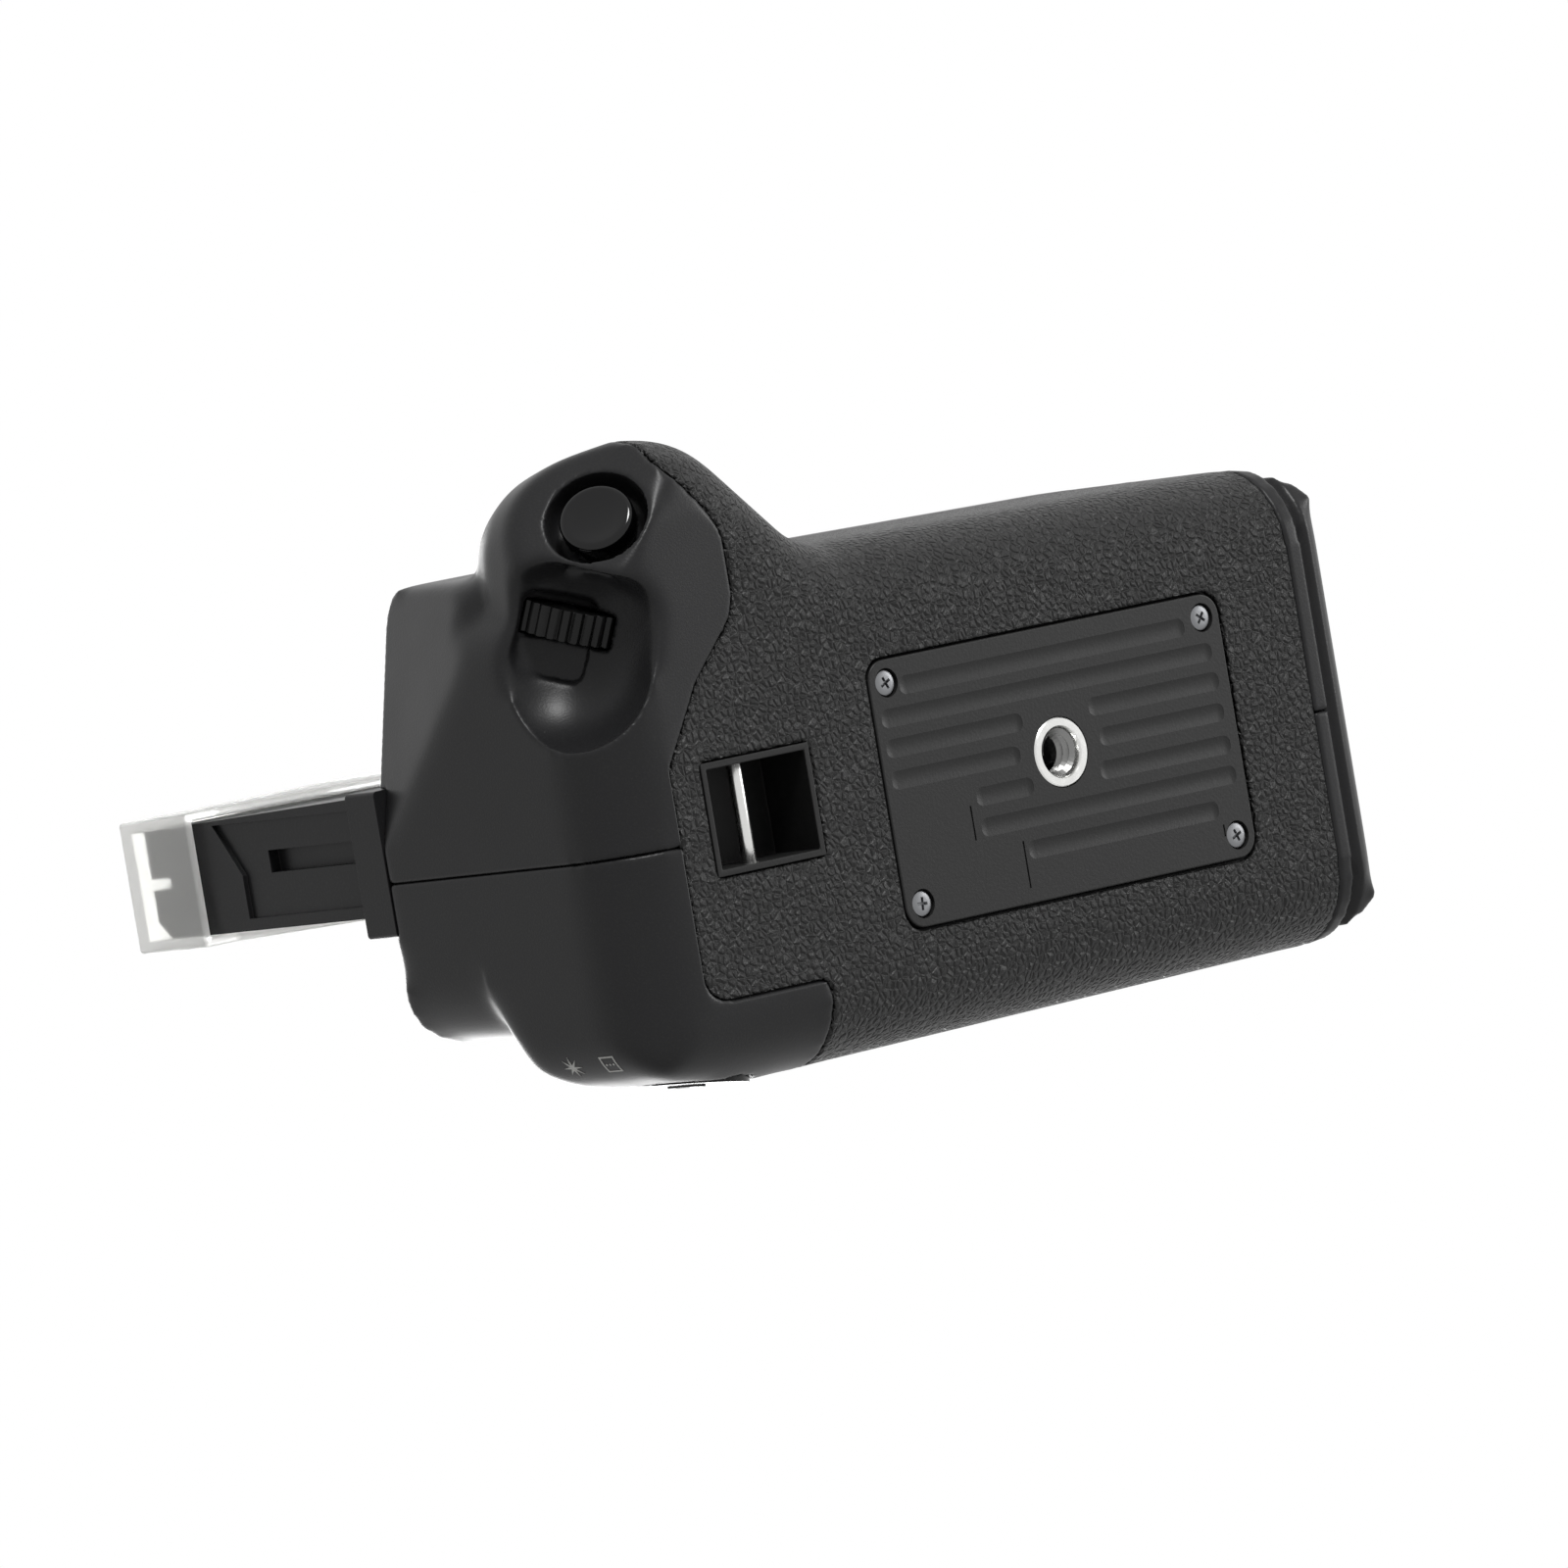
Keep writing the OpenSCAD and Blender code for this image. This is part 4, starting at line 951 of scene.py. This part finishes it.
@dataclass
class RearControls:
    """The three push buttons, the power switch and the printed marks on the rear."""

    slope: Point = (0.83, -0.56, 0.0)
    star_at: Point = (76.6, -28.6, 18.4)
    frame_at: Point = (76.6, -28.6, 10.8)
    mark: float = 1.5
    power_at: Point = (60.0, -33.396, 13.0)
    power_axis: Point = (0.1443, -0.9895, 0.0)

    def facing(self, spot: Point, axis: Point) -> Matrix:
        """Gives the matrix that stands local Z along an axis at a spot.

        Args:
            spot: Place in millimetres.
            axis: Direction of local Z.

        Returns:
            The matrix.
        """
        turn = Vector(axis).to_track_quat("Z", "X").to_matrix().to_4x4()
        return Matrix.Translation(Vector(spot) * MM) @ turn

    def lay(self, obj: bpy.types.Object, shell: bpy.types.Object) -> None:
        """Lays a flat mark on the shell and gives it the thickness of ink."""
        with editing(obj):
            bpy.ops.mesh.quads_convert_to_tris()
            bpy.ops.mesh.subdivide(number_cuts=2)
        apply_modifier(obj, "SHRINKWRAP", target=shell, wrap_method="NEAREST_SURFACEPOINT",
                       wrap_mode="ABOVE_SURFACE", offset=0.03 * MM)
        apply_modifier(obj, "SOLIDIFY", thickness=0.06 * MM, offset=0.0)
        finish_piece(obj, INK, Body.HOUSING, Slot.SHELL)

    def build_star(self, shell: bpy.types.Object) -> None:
        """Prints the eight-ray star on the rear corner of the end."""
        bpy.ops.object.select_all(action="DESELECT")
        bpy.ops.mesh.primitive_circle_add(vertices=16, radius=1.25 * self.mark * MM, fill_type="TRIFAN")
        star = bpy.context.object
        star.name = star.data.name = "printed_star"
        for vertex in star.data.vertices:
            angle = round(math.degrees(math.atan2(vertex.co.y, vertex.co.x)) / 22.5)
            if angle % 2 and vertex.co.length > 0.1 * MM:
                vertex.co *= 0.26
        place(star, self.facing(self.star_at, self.slope))
        self.lay(star, shell)

    def build_frame(self, shell: bpy.types.Object) -> None:
        """Prints the small frame with three dots beside the star."""
        size = self.mark * MM
        bpy.ops.object.select_all(action="DESELECT")
        bpy.ops.mesh.primitive_plane_add(size=1.9 * size)
        ring = bpy.context.object
        with editing(ring, "FACE"):
            bpy.ops.mesh.inset(thickness=0.16 * size)
            bpy.ops.mesh.delete(type="FACE")
        marks = [ring]
        for step in (-1, 0, 1):
            bpy.ops.object.select_all(action="DESELECT")
            bpy.ops.mesh.primitive_circle_add(vertices=12, radius=0.11 * size, fill_type="TRIFAN",
                                              location=(step * 0.46 * size, 0, 0))
            marks.append(bpy.context.object)
        obj = join(marks, "printed_frame")
        place(obj, self.facing(self.frame_at, self.slope))
        self.lay(obj, shell)

    def build_tick(self) -> None:
        """Prints the white tick on the power switch's rib."""
        tick = unit_cube()
        tick.name = tick.data.name = "power_tick"
        place(tick, self.facing(self.power_at, self.power_axis)
              @ Matrix.Translation((3.6 * MM, 0, 0.5 * MM))
              @ Matrix.Diagonal((2.4 * MM, 0.5 * MM, 0.05 * MM, 1)))
        apply_modifier(tick, "BEVEL", width=0.02 * MM, segments=2)
        finish_piece(tick, INK, Body.POWER, Slot.BUTTON_SATIN)

    def build(self, shell: bpy.types.Object) -> None:
        """Builds the buttons, the switch and the marks.

        Args:
            shell: Finished rear shell that the marks lie on.
        """
        for node, body in (("ae_lock_button", Body.AE_LOCK), ("af_point_button", Body.AF_POINT),
                           ("exposure_button", Body.EXPOSURE), ("power_switch", Body.POWER)):
            obj = dressed_copy(node, node + "_moulding", 0.18, 3)
            finish_piece(obj, SATIN_ABS, body, Slot.BUTTON_SATIN, node)
        self.build_star(shell)
        self.build_frame(shell)
        self.build_tick()


@dataclass
class CameraSide:
    """What meets the camera: the seat, the screw and its wheel, the tongue and its cap."""

    thread_r: float = 3.175
    thread_z: float = 50.7
    pitch: float = 1.27
    turns: int = 4
    thread_d: float = 0.55

    def build_screw(self) -> None:
        """Cuts the thread of the camera screw."""
        screw = copy_node("camera_screw", "camera_screw_threaded")
        groove = helix("screw_groove", self.thread_r - self.thread_d, self.thread_r + 0.3, 0.6, self.pitch,
                       self.turns, self.thread_z)
        cut(screw, groove)
        only(screw)
        bpy.ops.object.shade_smooth_by_angle(angle=math.radians(30))
        finish_piece(screw, NICKEL, Body.SCREW, Slot.BRIGHT, "camera_screw")

    def build(self) -> None:
        """Builds the pieces on the camera side."""
        self.build_screw()
        CrossHeadScrews("seat_screws", head_low=False).build()
        for node, finish, body, slot, bevel in (
                ("seat_plate", TRIM_ABS, Body.HOUSING, Slot.SHELL, 0.25),
                ("tongue_collar", SHELL_ABS, Body.HOUSING, Slot.SHELL, 0.4),
                ("tongue", TONGUE_ABS, Body.HOUSING, Slot.TONGUE, 0.35),
                ("locating_pins", ZINC, Body.HOUSING, Slot.STEEL, 0.3),
                ("thumb_wheel", DIAL_ABS, Body.WHEEL, Slot.DIAL, 0.12),
                ("tongue_cap", FROSTED, Body.CAP, Slot.CAP, 0.5)):
            finish_piece(dressed_copy(node, node + "_moulding", bevel, 3), finish, body, slot, node)


@dataclass
class Magazine:
    """The battery magazine: its frame, its two packs and its latch."""

    def build(self) -> None:
        """Builds the magazine's pieces; the end cover is a moulded skin of its own."""
        for node, finish, body, slot, bevel in (
                ("magazine_frame", TRAY_ABS, Body.MAGAZINE, Slot.TRAY, 0.2),
                ("battery_upper", PACK_PC, Body.MAGAZINE, Slot.PACK, 0.4),
                ("battery_lower", PACK_PC, Body.MAGAZINE, Slot.PACK, 0.4),
                ("latch_knob", SATIN_ABS, Body.LATCH, Slot.BUTTON_SATIN, 0.25)):
            finish_piece(dressed_copy(node, node + "_moulding", bevel, 3), finish, body, slot, node)


@dataclass
class InnerParts:
    """Nodes inside the grip that keep their CAD shape and get a real finish."""

    finishes: tuple[tuple[Finish, tuple[str, ...]], ...] = (
        (SWITCH_NYLON, ("shutter_switch", "rear_button_switches")),
        (ZINC, ("dial_shaft", "thumb_wheel_pin", "camera_screw_gear", "latch_cam")),
        (BOARD, ("dial_encoder", "main_board")),
        (GOLD, ("tongue_contacts", "magazine_contacts", "chamber_contacts")))

    def build(self) -> None:
        """Puts the finishes on the nodes."""
        for finish, nodes in self.finishes:
            for node in nodes:
                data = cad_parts[node].data
                data.materials.clear()
                data.materials.append(finish.material())
                LOG.info("%s: %s", node, finish.name)


@dataclass
class Studio:
    """The floor, the lights and the camera at the photograph's angle."""

    eye: Point = (1.5323, 0.1158, -1.7541)
    right: Point = (-0.74762, -0.16578, -0.64311)
    up: Point = (-0.15783, 0.98495, -0.07042)
    back: Point = (0.6451, 0.04885, -0.76253)
    lens: float = 405.0
    fill: float = 0.3
    middle: Point = (0.0, 0.005, 0.045)

    def build_camera(self) -> None:
        """Places the camera."""
        data = bpy.data.cameras.new("photo_camera")
        data.lens = self.lens
        data.sensor_width = 36.0
        data.clip_end = 10.0
        camera = bpy.data.objects.new("photo_camera", data)
        bpy.context.scene.collection.objects.link(camera)
        columns = [(*self.right, 0), (*self.up, 0), (*self.back, 0), (*self.eye, 1)]
        camera.matrix_world = Matrix(columns).transposed()
        bpy.context.scene.camera = camera

    def build_lights(self) -> None:
        """Hangs soft lamps: offsets are along the camera's right, up and back."""
        basis = Matrix((self.right, self.up, self.back)).transposed()
        for name, offset, size, watts in (("key", (0.1, 0.95, 0.6), 0.26, 10.0),
                                          ("side", (1.0, 0.35, -0.15), 0.35, 4.0),
                                          ("crown", (-0.3, -0.2, -1.0), 0.6, 6.0)):
            data = bpy.data.lights.new(name, "AREA")
            data.energy = watts
            data.size = size
            lamp = bpy.data.objects.new(name, data)
            bpy.context.scene.collection.objects.link(lamp)
            way = basis @ Vector(offset)
            lamp.location = Vector(self.middle) + way
            lamp.rotation_euler = way.to_track_quat("Z", "Y").to_euler()

    def build_world(self) -> None:
        """Shows white to the camera, gloss and glass, and a plain fill to the rest."""
        world = bpy.data.worlds.new("studio")
        world.use_nodes = True
        tree = world.node_tree
        path = tree.nodes.new("ShaderNodeLightPath")
        seen = path.outputs["Is Camera Ray"]
        for name in ("Is Glossy Ray", "Is Transmission Ray"):
            seen = add_node(tree, "ShaderNodeMath", {0: seen, 1: path.outputs[name]},
                            operation="MAXIMUM").outputs[0]
        level = add_node(tree, "ShaderNodeMapRange", {"Value": seen, "To Min": self.fill, "To Max": 1.0})
        ground = tree.nodes["Background"]
        ground.inputs["Color"].default_value = (1, 1, 1, 1)
        tree.links.new(level.outputs[0], ground.inputs["Strength"])
        bpy.context.scene.world = world

    def build_floor(self) -> None:
        """Lays a pale floor that only a camera above it sees."""
        bpy.ops.object.select_all(action="DESELECT")
        bpy.ops.mesh.primitive_plane_add(size=6.0, location=(0, 0, cad_box[0][2] - 0.2 * MM))
        floor = bpy.context.object
        floor.name = "floor"
        paint = bpy.data.materials.new("floor_paper")
        paint.use_nodes = True
        tree = paint.node_tree
        path = tree.nodes.new("ShaderNodeLightPath")
        side = tree.nodes.new("ShaderNodeNewGeometry")
        front = add_node(tree, "ShaderNodeMath", {0: 1.0, 1: side.outputs["Backfacing"]}, operation="SUBTRACT")
        shown = add_node(tree, "ShaderNodeMath", {0: path.outputs["Is Camera Ray"], 1: front.outputs[0]},
                         operation="MULTIPLY")
        shader = tree.nodes["Principled BSDF"]
        shader.inputs["Base Color"].default_value = linear("#f2f2f0")
        shader.inputs["Roughness"].default_value = 0.9
        clear = tree.nodes.new("ShaderNodeBsdfTransparent")
        mix = add_node(tree, "ShaderNodeMixShader", {0: shown.outputs[0], 1: clear.outputs[0],
                                                     2: shader.outputs[0]})
        tree.links.new(mix.outputs[0], tree.nodes["Material Output"].inputs["Surface"])
        floor.data.materials.append(paint)

    def build(self) -> None:
        """Builds the studio."""
        bpy.context.scene.view_settings.view_transform = "Standard"
        self.build_camera()
        self.build_lights()
        self.build_world()
        self.build_floor()


def main() -> None:
    """Builds the sub-assemblies in order."""
    logging.basicConfig(level=logging.INFO, format="%(name)s: %(message)s")
    Studio().build()
    MouldedSkin("front_shell", SHELL_ABS, Slot.SHELL, voxel=0.32, passes=190, faces=170000,
                blends=NOSE_BLENDS, keeps=NOSE_KEEPS, neighbour="grip_rubber",
                fillets=NOSE_FILLETS).build()
    rear = MouldedSkin("rear_shell", SHELL_ABS, Slot.SHELL, voxel=0.42, passes=150, faces=130000,
                       blends=REAR_BLENDS, keeps=REAR_KEEPS, neighbour="grip_rubber").build()
    MouldedSkin("grip_rubber", RUBBER, Slot.RUBBER, passes=130, faces=110000).build()
    MouldedSkin("magazine_end_cover", COVER_ABS, Slot.SHELL, Body.MAGAZINE, voxel=0.42, passes=320,
                keep_angle=62.0, faces=70000).build()
    TripodFittings().build()
    ShutterEnd().build()
    StrapWindow().build()
    RearControls().build(rear)
    CameraSide().build()
    Magazine().build()
    InnerParts().build()


if __name__ == "__main__":
    main()
